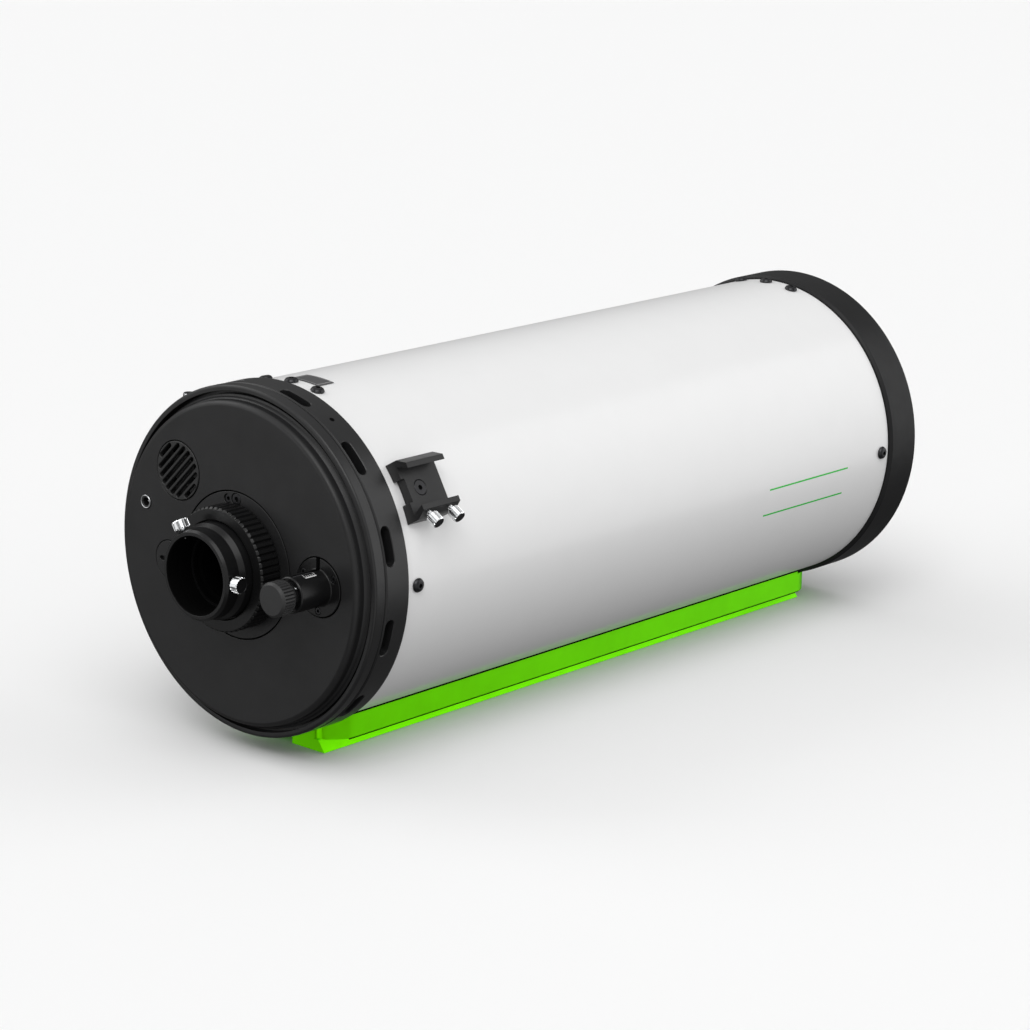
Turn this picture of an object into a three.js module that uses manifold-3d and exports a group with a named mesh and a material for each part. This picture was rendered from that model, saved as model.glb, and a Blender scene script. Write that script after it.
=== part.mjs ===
// Maksutov-Cassegrain telescope tube assembly with a wide dovetail bar.
// Millimetres, +Z up. +Y runs along the optical axis towards the sky, +X is to the right seen from behind.
// The origin is the centre of the flat underside of the dovetail bar.
import * as THREE from "three";
import { mergeVertices } from "three/addons/utils/BufferGeometryUtils.js";
import Module from "manifold-3d";

const wasm = await Module();
wasm.setup();

// ---- driving dimensions -------------------------------------------------------------
const AXIS_HEIGHT = 128.8; // optical axis above the bar's underside
const BACK_OFFSET = 264.5; // tube's rear shoulder behind the origin
const GAP = 0.3; // clearance between touching pieces
const SEG = 48; // facets round a large ring

const TUBE_R = 113; // outside of the tube
const TUBE_BORE_R = 111;
const TUBE_LENGTH = 527; // shoulder to shoulder
const CELL_R = 116; // outside of front cell, vent ring and rear band
const SPIGOT_R = TUBE_BORE_R - GAP; // spigots inside the tube

const FRONT_CELL_END = 557.8;
const LENS_R = 101;
const LENS_POCKET_R = 101.5;
const LENS_SEAT_Y = 524;

const VENT_RING_BACK = -20.3;
const VENT_SLOTS = 12;
const VENT_SLOT_LENGTH = 25.7;
const VENT_SLOT_WIDTH = 7.7;
const VENT_SLOT_Y = -15.2;
const SPIGOT_DEPTH = 34;
const SPIGOT_BORE_R = 106;

const FACE_Y = -38.4; // rear face of the back cover
const COVER_THICK = 3.2;
const BULKHEAD_FRONT = -20.6;
const BULKHEAD_BACK = -24.6;

const PLATE_R = 48.6; // collimation plate
const COLLIMATION_PCR = 43.5;
const PORT_R = 30.5;

const RING_R = 41; // locking ring
const RING_FRONT = -39;
const RING_BACK = -55.2;

const EYEPIECE_BORE_R = 25.4; // two inch fitting
const VB_END = -75;
const VB_SCREW_Y = -69.4;
const VB_SCREW_ANGLES = [0, 122];

const FAN = [-53.8, 53]; // x, z of the fan and its grille
const GRILLE_R = 19.7;
const JACK = [-84.4, 26.5];
const PLUG = [-62.2, -8.9];
const FOCUSER = [74.2, 0.5];
const FOCUSER_R = 11.8;
const FOCUSER_FLANGE_R = 19.3;
const FOCUSER_END = -64.7;
const KNOB_R = 11.3;
const KNOB_END = -80.4;
const SHAFT_R = 3;

const SHOE_ANGLES = { right: 30, left: 150 };
const SHOE_Y0 = 8.1;
const SHOE_Y1 = 42.2;
const TUBE_SCREW_ANGLES = [0, 78, 90, 102, 180];
const REAR_SCREW_Y = 11;
const FRONT_SCREW_Y = 518;

const BAR_HALF = 38; // dovetail bar, half-width at the underside
const BAR_Y0 = 4.8;
const BAR_Y1 = 524.2;
const BLOCK_HALF = 36;
const BLOCK_Y0 = 4.8;
const BLOCK_Y1 = 545;
const BLOCK_CORNER_R = 19;

// ---- materials ----------------------------------------------------------------------
const look = (color, roughness, metalness, extra = {}) =>
  new THREE.MeshStandardMaterial({ color, roughness, metalness, ...extra });
const mats = {
  black: () => look(0x2b2b2d, 0.55, 0.3),
  deep: () => look(0x131314, 0.6, 0.2),
  white: () => look(0xf2f2f2, 0.15, 0.0),
  green: () => look(0x46be00, 0.35, 0.4),
  chrome: () => look(0xd8dade, 0.15, 1.0),
  steel: () => look(0x1c1c1e, 0.35, 0.8),
  glass: () => look(0xbcd8c8, 0.02, 0.0, { transparent: true, opacity: 0.3 }),
  mirror: () => look(0xe8eef2, 0.03, 1.0),
  brass: () => look(0xb08d3c, 0.3, 1.0),
  plastic: () => look(0x1a1a1b, 0.6, 0.0),
  label: () => look(0xc9ccce, 0.4, 0.1),
};

// ---- helpers ------------------------------------------------------------------------
const rad = THREE.MathUtils.degToRad;

// A closed triangle mesh as a manifold solid.
function solid(geometry) {
  const g = geometry.clone();
  g.deleteAttribute("normal");
  g.deleteAttribute("uv");
  const m = mergeVertices(g, 1e-4);
  const from = m.index.array;
  const tris = [];
  for (let i = 0; i < from.length; i += 3) {
    const [a, b, c] = [from[i], from[i + 1], from[i + 2]];
    if (a !== b && b !== c && a !== c) tris.push(a, b, c);
  }
  return new wasm.Manifold(
    new wasm.Mesh({
      numProp: 3,
      vertProperties: new Float32Array(m.attributes.position.array),
      triVerts: new Uint32Array(tris),
    }),
  );
}

function geometryOf(s) {
  const mesh = s.getMesh();
  const n = mesh.numProp;
  const v = new Float32Array(mesh.numVert * 3);
  for (let i = 0; i < mesh.numVert; i++)
    v.set(mesh.vertProperties.subarray(i * n, i * n + 3), i * 3);
  const g = new THREE.BufferGeometry();
  g.setAttribute("position", new THREE.BufferAttribute(v, 3));
  g.setIndex(new THREE.BufferAttribute(new Uint32Array(mesh.triVerts), 1));
  return g;
}

// A turned solid about Y. The profile is [radius, y] points, either closed on itself or from axis to axis.
function turned(profile, segments = SEG) {
  const p = profile.map(([r, y]) => new THREE.Vector2(r, y));
  const ends = p[0].x === 0 && p[p.length - 1].x === 0;
  if (THREE.ShapeUtils.area(p) < 0) p.reverse();
  if (!ends) p.push(p[0].clone());
  return solid(new THREE.LatheGeometry(p, segments));
}

// A cylinder along Y from y0 to y1, centred at x, z.
function rod(r, y0, y1, x = 0, z = 0, segments = 20) {
  return turned([[0, y0], [r, y0], [r, y1], [0, y1]], segments).translate([x, 0, z]);
}

// A shape drawn in (x, z), extruded along Y from y0 to y1.
function alongY(points, y0, y1) {
  const shape = new THREE.Shape(points.map(([x, z]) => new THREE.Vector2(x, z)));
  const g = new THREE.ExtrudeGeometry(shape, { depth: y1 - y0, bevelEnabled: false });
  const m = new THREE.Matrix4().makeBasis(
    new THREE.Vector3(1, 0, 0),
    new THREE.Vector3(0, 0, 1),
    new THREE.Vector3(0, -1, 0),
  );
  m.setPosition(0, y1, 0);
  g.applyMatrix4(m);
  return solid(g);
}

function box(x0, x1, y0, y1, z0, z1) {
  const g = new THREE.BoxGeometry(x1 - x0, y1 - y0, z1 - z0);
  g.translate((x0 + x1) / 2, (y0 + y1) / 2, (z0 + z1) / 2);
  return solid(g);
}

// Points of a round-ended slot, length along the first axis.
function slotPoints(length, width, steps = 5) {
  const r = width / 2;
  const c = length / 2 - r;
  const out = [];
  for (let i = 0; i <= steps; i++) {
    const a = -Math.PI / 2 + (Math.PI * i) / steps;
    out.push([c + r * Math.cos(a), r * Math.sin(a)]);
  }
  for (let i = 0; i <= steps; i++) {
    const a = Math.PI / 2 + (Math.PI * i) / steps;
    out.push([-c + r * Math.cos(a), r * Math.sin(a)]);
  }
  return out;
}

// Frame whose local Y points radially outward at angle deg (from +X towards +Z), at height y along the axis.
function radialFrame(deg, y) {
  const a = rad(deg);
  const m = new THREE.Matrix4().makeBasis(
    new THREE.Vector3(0, 1, 0),
    new THREE.Vector3(Math.cos(a), 0, Math.sin(a)),
    new THREE.Vector3(Math.sin(a), 0, -Math.cos(a)),
  );
  return m.setPosition(0, y, 0);
}

function moved(s, matrix) {
  return s.transform(matrix.toArray());
}

const difference = (a, ...cutters) => cutters.reduce((s, c) => s.subtract(c), a);

// ---- the group ----------------------------------------------------------------------
const root = new THREE.Group();
// Everything below is drawn about the optical axis, with y = 0 at the tube's rear shoulder.
const optics = new THREE.Group();
optics.position.set(0, -BACK_OFFSET, AXIS_HEIGHT);
root.add(optics);

function node(name, s, material, matrix, parent = optics) {
  const mesh = new THREE.Mesh(s.isBufferGeometry ? s : geometryOf(s), material);
  mesh.name = name;
  if (matrix) mesh.applyMatrix4(matrix);
  parent.add(mesh);
  return mesh;
}

// radial hole through walls between rho0 and rho1
const radialHole = (deg, y, r, rho0, rho1, seg = 10) =>
  moved(turned([[0, rho0], [r, rho0], [r, rho1], [0, rho1]], seg), radialFrame(deg, y));

// ---- main tube ----------------------------------------------------------------------
{
  let tube = turned([
    [TUBE_BORE_R, GAP],
    [TUBE_R, GAP],
    [TUBE_R, TUBE_LENGTH - GAP],
    [TUBE_BORE_R, TUBE_LENGTH - GAP],
  ]);
  for (const a of TUBE_SCREW_ANGLES) {
    tube = tube.subtract(radialHole(a, REAR_SCREW_Y, 2.4, 100, 120));
    tube = tube.subtract(radialHole(a, FRONT_SCREW_Y, 2.4, 100, 120));
  }
  for (const a of Object.values(SHOE_ANGLES)) tube = tube.subtract(radialHole(a, 22.2, 2.9, 100, 120));
  tube = tube.subtract(radialHole(270, 26, 3.4, 100, 120));
  tube = tube.subtract(radialHole(270, FRONT_SCREW_Y, 3.4, 100, 120));
  node("main_tube", tube, mats.white());
}

// ---- front cell, corrector and its ring, secondary baffle ----------------------------
{
  let cell = turned([
    [104, 505],
    [SPIGOT_R, 505],
    [SPIGOT_R, TUBE_LENGTH],
    [114.6, TUBE_LENGTH],
    [CELL_R, TUBE_LENGTH + 1.4],
    [CELL_R, FRONT_CELL_END - 1.5],
    [114.5, FRONT_CELL_END],
    [103, FRONT_CELL_END],
    [LENS_POCKET_R, FRONT_CELL_END - 1.5],
    [LENS_POCKET_R, LENS_SEAT_Y],
    [99, LENS_SEAT_Y],
    [99, 518],
  ]);
  for (const a of TUBE_SCREW_ANGLES) cell = cell.subtract(radialHole(a, FRONT_SCREW_Y, 2.4, 107.6, 115));
  cell = cell.subtract(radialHole(270, FRONT_SCREW_Y, 3.4, 105.4, 115));
  node("front_cell", cell, mats.black());

  node(
    "corrector_lens",
    turned(
      [
        [0, 507],
        [34, 508.9],
        [68, 514.6],
        [98, 522.7],
        [98, LENS_SEAT_Y + 0.4],
        [LENS_R, LENS_SEAT_Y + 0.4],
        [LENS_R, 541.6],
        [68, 531.8],
        [34, 525.9],
        [0, 524],
      ],
      32,
    ),
    mats.glass(),
  );
  node(
    "corrector_retaining_ring",
    turned([[98, 542.2], [101.2, 542.2], [101.2, 546.3], [98, 546.3]]),
    mats.black(),
  );
  node(
    "secondary_baffle",
    turned([[0, 503], [25.5, 503], [25.5, 470], [27, 470], [27, 507.8], [0, 506.6]], 24),
    mats.deep(),
  );
}

// ---- vent ring with round-ended slots ------------------------------------------------
{
  let ring = turned([
    [SPIGOT_BORE_R, VENT_RING_BACK],
    [115.2, VENT_RING_BACK],
    [CELL_R, VENT_RING_BACK + 0.8],
    [CELL_R, -0.3],
    [115.7, 0],
    [SPIGOT_R, 0],
    [SPIGOT_R, SPIGOT_DEPTH],
    [SPIGOT_BORE_R, SPIGOT_DEPTH],
  ]);
  const slotShape = new THREE.Shape(
    slotPoints(VENT_SLOT_LENGTH, VENT_SLOT_WIDTH, 4).map(([u, v]) => new THREE.Vector2(u, v)),
  );
  const slotGeometry = new THREE.ExtrudeGeometry(slotShape, { depth: 20, bevelEnabled: false });
  slotGeometry.translate(0, 0, 100);
  for (let k = 0; k < VENT_SLOTS; k++) {
    const a = rad(15 + (360 / VENT_SLOTS) * k);
    const m = new THREE.Matrix4().makeBasis(
      new THREE.Vector3(Math.sin(a), 0, -Math.cos(a)),
      new THREE.Vector3(0, 1, 0),
      new THREE.Vector3(Math.cos(a), 0, Math.sin(a)),
    );
    m.setPosition(0, VENT_SLOT_Y, 0);
    ring = ring.subtract(moved(solid(slotGeometry), m));
  }
  for (const a of TUBE_SCREW_ANGLES) ring = ring.subtract(radialHole(a, REAR_SCREW_Y, 2.4, 107.6, 115));
  for (const a of Object.values(SHOE_ANGLES)) ring = ring.subtract(radialHole(a, 22.2, 2.9, 107.2, 115));
  ring = ring.subtract(radialHole(270, 26, 3.4, 107.2, 115));
  ring = ring.subtract(radialHole(60.6, -9.7, 1.8, 109, 120, 10));
  node("vent_ring", ring, mats.black());
  node(
    "vent_ring_grub_screw",
    turned([[0, 109.4], [1.5, 109.4], [1.5, 115.4], [0, 115.4]], 10),
    mats.steel(),
    radialFrame(60.6, -9.7),
  );
}

// ---- rear cell: band and bulkhead ----------------------------------------------------
{
  let cell = turned([
    [22.4, BULKHEAD_BACK],
    [112, BULKHEAD_BACK],
    [112, -30.5],
    [112.6, -30.4],
    [114.4, -29.5],
    [115.6, -28],
    [CELL_R, -26.2],
    [CELL_R, -22.6],
    [115, -22.2],
    [115, BULKHEAD_FRONT],
    [22.4, BULKHEAD_FRONT],
  ]);
  cell = difference(
    cell,
    rod(17, -40, 0, FAN[0], FAN[1], 24),
    rod(SHAFT_R + 0.6, -40, 0, FOCUSER[0], FOCUSER[1], 16),
  );
  for (let k = 0; k < 3; k++) {
    const a = rad(90 + 120 * k);
    cell = cell.subtract(
      rod(2.4, -40, 0, COLLIMATION_PCR * Math.cos(a), COLLIMATION_PCR * Math.sin(a), 12),
    );
  }
  node("rear_cell", cell, mats.black());
}

// ---- back cover with its openings ----------------------------------------------------
{
  const inner = FACE_Y + COVER_THICK;
  let cover = turned([
    [110, BULKHEAD_BACK - GAP],
    [110, -28.2],
    [109.3, -28.9],
    [107.7, -30.6],
    [107, -34],
    [105.8, -37],
    [102.6, FACE_Y],
    [PLATE_R + GAP, FACE_Y],
    [PLATE_R + GAP, inner],
    [103.4, inner],
    [104, -34],
    [104, BULKHEAD_BACK - GAP],
  ]);
  cover = difference(
    cover,
    rod(GRILLE_R + 0.4, -50, -20, FAN[0], FAN[1], 24),
    rod(FOCUSER_FLANGE_R + 0.4, -50, -20, FOCUSER[0], FOCUSER[1], 24),
    rod(4.8, -50, -20, JACK[0], JACK[1], 16),
    rod(13.5, -50, -20, PLUG[0], PLUG[1], 24),
  );
  node("back_cover", cover, mats.black());
}

// ---- vent grille, fan, power inlet, spanner plug --------------------------------------
{
  let grille = rod(GRILLE_R, -38.8, -36, FAN[0], FAN[1], 24);
  const pitch = 4.7;
  for (let k = 0; k < 8; k++) {
    const off = (k - 3.5) * pitch;
    const half = Math.sqrt(17.6 ** 2 - off ** 2);
    const a = rad(45);
    const pts = slotPoints(2 * half, 2.6, 3).map(([u, v]) => [
      u * Math.cos(a) - (v + off) * Math.sin(a),
      u * Math.sin(a) + (v + off) * Math.cos(a),
    ]);
    grille = grille.subtract(alongY(pts, -45, -30).translate([FAN[0], 0, FAN[1]]));
  }
  node("vent_grille", grille, mats.plastic());

  const h = 20;
  let frame = alongY([[-h, -h], [h, -h], [h, h], [-h, h]], -34.9, -25.1);
  frame = difference(frame, rod(19, -50, 0, 0, 0, 24));
  frame = frame.add(rod(9, -26.9, -25.1, 0, 0, 20));
  for (let k = 0; k < 3; k++)
    frame = frame.add(
      box(0, 19.4, -26.9, -25.1, -1.2, 1.2).rotate([0, 30 + 120 * k, 0]),
    );
  frame = frame.subtract(rod(1.8, -50, 0, 0, 0, 12));
  frame = frame.rotate([0, 45, 0]).translate([FAN[0], 0, FAN[1]]);
  node("fan_frame", frame, mats.plastic());

  let rotor = rod(10, -34.2, -27.4, 0, 0, 20).add(rod(1.4, -27.6, -25.4, 0, 0, 12));
  for (let k = 0; k < 7; k++) {
    const blade = solid(new THREE.BoxGeometry(9.2, 1.1, 6.6))
      .rotate([42, 0, 0])
      .translate([13.4, -30.8, 0])
      .rotate([0, (360 / 7) * k, 0]);
    rotor = rotor.add(blade);
  }
  node("fan_rotor", rotor.translate([FAN[0], 0, FAN[1]]), mats.plastic());

  node(
    "power_jack",
    turned(
      [[0, -27], [4.4, -27], [4.4, -39.4], [3.3, -39.4], [3.3, -30], [1, -30], [1, -38.2], [0, -38.2]],
      16,
    ).translate([JACK[0], 0, JACK[1]]),
    mats.chrome(),
  );

  let plug = rod(13.2, -38.8, -33.5, PLUG[0], PLUG[1], 24);
  for (const s of [-1, 1]) {
    const x = PLUG[0] + s * 6.3;
    plug = plug.subtract(box(x - 3, x + 3, -42, -36.4, PLUG[1] - 1.5, PLUG[1] + 1.5));
  }
  node("spanner_plug", plug, mats.black());
}

// ---- collimation plate with its three push-pull pairs ---------------------------------
{
  let plate = turned(
    [[25.7, -50.2], [PORT_R, -50.2], [PORT_R, FACE_Y], [PLATE_R, FACE_Y], [PLATE_R, -33], [25.7, -33]],
    40,
  );
  const at = (deg) => [COLLIMATION_PCR * Math.cos(rad(deg)), COLLIMATION_PCR * Math.sin(rad(deg))];
  for (let k = 0; k < 3; k++) {
    const [px, pz] = at(90 + 120 * k);
    const [gx, gz] = at(100.5 + 120 * k);
    plate = difference(
      plate,
      rod(4.4, -45, -35.7, px, pz, 16),
      rod(2.4, -45, -20, px, pz, 12),
      rod(3.2, -45, -20, gx, gz, 12),
    );
    node(
      `collimation_pull_screw_${k + 1}`,
      turned([[0, -38.2], [4, -38.2], [4, -36], [2, -36], [2, -21.5], [0, -21.5]], 14).translate([px, 0, pz]),
      mats.steel(),
    );
    node(
      `collimation_push_screw_${k + 1}`,
      rod(2.9, -38.2, -25, gx, gz, 12),
      mats.steel(),
    );
  }
  node("collimation_plate", plate, mats.black());
}

// ---- locking ring and two-inch visual back --------------------------------------------
node(
  "locking_ring",
  turned(
    [
      [31, RING_FRONT],
      [40.2, RING_FRONT],
      [RING_R, RING_FRONT - 0.8],
      [RING_R, RING_BACK + 0.8],
      [40.2, RING_BACK],
      [32.1, RING_BACK],
      [32.1, -53.2],
      [36, -53.2],
      [36, -49.6],
      [31, -49.6],
    ],
    40,
  ),
  mats.black(),
);
{
  let back = turned(
    [
      [23, -50.5],
      [35.5, -50.5],
      [35.5, -52.9],
      [31.7, -52.9],
      [31.7, -63.5],
      [29.5, -63.8],
      [29.5, -73.5],
      [28, VB_END],
      [EYEPIECE_BORE_R + 0.3, VB_END],
      [EYEPIECE_BORE_R, -74.6],
      [EYEPIECE_BORE_R, -54],
      [23, -54],
    ],
    36,
  );
  for (const a of VB_SCREW_ANGLES) back = back.subtract(radialHole(a, VB_SCREW_Y, 1.9, 20, 40));
  node("visual_back", back, mats.black());
  const screw = geometryOf(
    turned([[0, 24.8], [1.5, 24.8], [1.5, 31], [5.35, 31], [5.35, 37.1], [5, 37.4], [0, 37.4]], 16),
  );
  VB_SCREW_ANGLES.forEach((a, i) =>
    node(`visual_back_thumbscrew_${i + 1}`, screw, mats.chrome(), radialFrame(a, VB_SCREW_Y)),
  );
}

// ---- baffle tube, primary mirror and its sliding carrier --------------------------------
node(
  "baffle_tube",
  turned([[20, -49.8], [25.4, -49.8], [25.4, -44], [22, -44], [22, 230], [20, 230]], 28),
  mats.deep(),
);
node(
  "primary_mirror",
  turned([[25.6, 14], [95, 14], [95, 40], [60, 37], [25.6, 35.4]], 36),
  mats.mirror(),
);
node(
  "mirror_carrier",
  turned(
    [[22.4, 7.5], [82, 7.5], [82, 13.6], [25.2, 13.6], [25.2, 52], [22.4, 52]],
    28,
  ).subtract(rod(SHAFT_R + 0.6, 0, 20, FOCUSER[0], FOCUSER[1], 14)),
  mats.steel(),
);
node(
  "focus_nut",
  turned([[SHAFT_R + 0.35, -6], [7, -6], [7, 7.2], [SHAFT_R + 0.35, 7.2]], 16).translate([FOCUSER[0], 0, FOCUSER[1]]),
  mats.brass(),
);

// ---- focuser: housing, scale window, shaft and knob -------------------------------------
{
  const [fx, fz] = FOCUSER;
  let housing = turned(
    [
      [SHAFT_R + 0.5, FOCUSER_END],
      [FOCUSER_R, FOCUSER_END],
      [FOCUSER_R, FACE_Y - 0.6],
      [FOCUSER_FLANGE_R, FACE_Y - 0.6],
      [FOCUSER_FLANGE_R, -34.6],
      [FOCUSER_R, -34.6],
      [FOCUSER_R, -25],
      [SHAFT_R + 0.5, -25],
    ],
    24,
  );
  housing = difference(
    housing,
    box(-1.6, 1.6, FACE_Y - 1, FACE_Y + 1, 10, 25),
    box(-1.6, 1.6, -63, FACE_Y, 9.6, 15),
  );
  for (let k = 0; k < 3; k++) {
    const a = rad(30 + 120 * k);
    const [sx, sz] = [15.4 * Math.cos(a), 15.4 * Math.sin(a)];
    housing = difference(housing, rod(2.7, -45, -37, sx, sz, 12), rod(1.6, -45, -20, sx, sz, 10));
    node(
      `focuser_flange_screw_${k + 1}`,
      turned([[0, -38.9], [2.4, -38.9], [2.4, -37.3], [1.2, -37.3], [1.2, -33], [0, -33]], 12).translate([
        fx + sx,
        0,
        fz + sz,
      ]),
      mats.steel(),
    );
  }
  node("focuser_housing", housing.translate([fx, 0, fz]), mats.black());
  node("focuser_scale_window", box(fx - 1.3, fx + 1.3, -62, -44, fz + 9.9, fz + 11.3), mats.label());
  node(
    "focus_shaft",
    rod(SHAFT_R, -73.6, 7, fx, fz, 16),
    mats.chrome(),
  );
  node(
    "focus_knob",
    turned(
      [
        [0, KNOB_END],
        [9.7, KNOB_END],
        [KNOB_R, -79],
        [KNOB_R, -69.2],
        [7.5, -69.2],
        [7.5, FOCUSER_END - 0.4],
        [SHAFT_R + 0.3, FOCUSER_END - 0.4],
        [SHAFT_R + 0.3, -74],
        [0, -74],
      ],
      28,
    ).translate([fx, 0, fz]),
    mats.plastic(),
  );
}

// ---- finder shoes: a saddle with a dovetail channel, two clamp screws, one fixing screw --
{
  const foot = TUBE_R + GAP;
  const section = [];
  const steps = 8;
  for (let i = 0; i <= steps; i++) {
    const t = -20.1 + (40.2 * i) / steps;
    section.push([Math.sqrt(foot ** 2 - t ** 2), t]);
  }
  section.push([122, 20.1], [129.6, 15.9], [129.6, 12.3], [120.2, 16], [120.2, -16], [129.6, -12.3], [129.6, -15.9], [122, -20.1]);
  const d = new THREE.Vector3(0.484, 0, -0.875).normalize();
  const endPoint = new THREE.Vector3(131, 0, -26.8);
  const clampFrame = (y) =>
    new THREE.Matrix4()
      .makeBasis(new THREE.Vector3(0, 1, 0), d, new THREE.Vector3(0, 1, 0).cross(d))
      .setPosition(endPoint.x, y, endPoint.z);
  let shoe = alongY(section, SHOE_Y0, SHOE_Y1);
  shoe = shoe.subtract(box(100, 140, 0, 11.2, -7.9, 7.9));
  const fixing = new THREE.Matrix4()
    .makeBasis(new THREE.Vector3(0, 1, 0), new THREE.Vector3(1, 0, 0), new THREE.Vector3(0, 0, -1))
    .setPosition(0, 22.2, 0);
  shoe = shoe.subtract(
    moved(turned([[0, 105], [2.9, 105], [2.9, 117.4], [5.6, 120.3], [5.6, 121], [0, 121]], 16), fixing),
  );
  for (const y of [15.2, 34.8])
    shoe = shoe.subtract(
      moved(turned([[0, -17], [2.15, -17], [2.15, -4], [0, -4]], 12), clampFrame(y)),
    );
  const clamp = geometryOf(
    turned([[0, -14.6], [1.75, -14.6], [1.75, -8], [4.2, -8], [4.2, -0.3], [3.9, 0], [0, 0]], 12),
  );
  const fix = geometryOf(
    turned([[0, 108], [2.4, 108], [2.4, 117.4], [5, 120], [0, 120]], 12),
  );
  for (const [side, angle] of Object.entries(SHOE_ANGLES)) {
    const g = new THREE.Group();
    g.rotation.y = -rad(angle);
    optics.add(g);
    node(`${side}_finder_shoe`, shoe, mats.black(), null, g);
    node(`${side}_shoe_screw`, fix, mats.steel(), fixing, g);
    node(`${side}_shoe_thumbscrew_1`, clamp, mats.chrome(), clampFrame(15.2), g);
    node(`${side}_shoe_thumbscrew_2`, clamp, mats.chrome(), clampFrame(34.8), g);
  }
}

// ---- button-head screws round both ends of the tube, and the top label -------------------
{
  const screw = geometryOf(
    turned([[0, 108.2], [2, 108.2], [2, 113.3], [4.75, 113.3], [4.3, 115], [2.6, 115.9], [0, 115.9]], 10),
  );
  TUBE_SCREW_ANGLES.forEach((a, i) => {
    node(`rear_tube_screw_${i + 1}`, screw, mats.steel(), radialFrame(a, REAR_SCREW_Y));
    node(`front_tube_screw_${i + 1}`, screw, mats.steel(), radialFrame(a, FRONT_SCREW_Y));
  });
  const arc = (r, from, to, n) =>
    Array.from({ length: n + 1 }, (_, i) => {
      const a = rad(from + ((to - from) * i) / n);
      return [r * Math.cos(a), r * Math.sin(a)];
    });
  node(
    "tube_label",
    alongY([...arc(TUBE_R + GAP, 81, 93.5, 6), ...arc(TUBE_R + 0.8, 93.5, 81, 6)], 17.5, 32),
    mats.label(),
  );
}

// ---- dovetail bar and its bolts -----------------------------------------------------------
{
  const z0 = -AXIS_HEIGHT;
  let bar = alongY(
    [[-BAR_HALF, z0], [BAR_HALF, z0], [32.3, z0 + 7.9], [-32.3, z0 + 7.9]],
    BAR_Y0,
    BAR_Y1,
  );
  const plan = new THREE.Shape();
  const [w, r] = [BLOCK_HALF, BLOCK_CORNER_R];
  const taper = [[27.5, BLOCK_Y0], [30.3, 5.6], [32.3, 7.9], [33.3, 11.3], [34.2, 18.7], [35.15, 26], [35.8, 32.4], [w, 37.5]];
  plan.moveTo(-27.5, BLOCK_Y0);
  for (const [u, v] of taper) plan.lineTo(u, v);
  plan.lineTo(w, BLOCK_Y1 - r);
  plan.absarc(w - r, BLOCK_Y1 - r, r, 0, Math.PI / 2, false);
  plan.lineTo(-w + r, BLOCK_Y1);
  plan.absarc(-w + r, BLOCK_Y1 - r, r, Math.PI / 2, Math.PI, false);
  for (const [u, v] of taper.reverse()) plan.lineTo(-u, v);
  const block = new THREE.ExtrudeGeometry(plan, { depth: 24, bevelEnabled: false, curveSegments: 6 });
  block.translate(0, 0, z0 + 2.8);
  bar = bar.add(solid(block));
  bar = difference(
    bar,
    turned([[0, -60], [TUBE_R + 0.6, -60], [TUBE_R + 0.6, 526.2], [0, 526.2]], 120),
    turned([[0, 526], [CELL_R + 0.6, 526], [CELL_R + 0.6, 620], [0, 620]], 120),
    box(-8.5, 8.5, -10, 110, z0 - 5, z0 + 7.5),
    box(-8.5, 8.5, 419, 560, z0 - 5, z0 + 7.5),
  );
  for (const y of [26, FRONT_SCREW_Y]) {
    const hole = new THREE.CylinderGeometry(3.4, 3.4, 40, 14);
    hole.rotateX(Math.PI / 2);
    hole.translate(0, y, z0 + 10);
    bar = bar.subtract(solid(hole));
  }
  node("dovetail_bar", bar, mats.green());
  const bolt = geometryOf(
    turned([[0, -0.1], [3, -0.1], [3, 13.5], [5, 13.5], [5, 19.2], [0, 19.2]].map(([a, b]) => [a, b + 108.2]), 14),
  );
  node("dovetail_bolt_rear", bolt, mats.steel(), radialFrame(270, 26));
  node("dovetail_bolt_front", bolt, mats.steel(), radialFrame(270, FRONT_SCREW_Y));
}

export default root;
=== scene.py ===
import math
import bmesh
import bpy
from mathutils import Matrix, Vector


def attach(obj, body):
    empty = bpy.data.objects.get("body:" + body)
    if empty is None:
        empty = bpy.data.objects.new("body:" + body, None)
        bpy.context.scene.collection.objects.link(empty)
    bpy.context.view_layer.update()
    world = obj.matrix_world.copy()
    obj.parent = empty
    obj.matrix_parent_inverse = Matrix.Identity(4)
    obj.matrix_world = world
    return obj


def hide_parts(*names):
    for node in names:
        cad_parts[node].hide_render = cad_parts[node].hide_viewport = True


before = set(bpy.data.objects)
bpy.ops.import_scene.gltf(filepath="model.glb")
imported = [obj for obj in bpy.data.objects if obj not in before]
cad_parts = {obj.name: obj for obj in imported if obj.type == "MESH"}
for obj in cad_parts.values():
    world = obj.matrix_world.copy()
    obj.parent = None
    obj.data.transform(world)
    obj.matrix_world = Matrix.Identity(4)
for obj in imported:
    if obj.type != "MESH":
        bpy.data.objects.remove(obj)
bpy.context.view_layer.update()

# Shapes are drawn in millimetres about the optical axis, y = 0 at the tube's rear shoulder,
# and angles run from +X towards +Z. OFFSET carries them into the row frame.
MM = 0.001
OFFSET = Vector((0.0, -264.5, 128.8))
COLL = bpy.context.scene.collection
rad = math.radians


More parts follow.
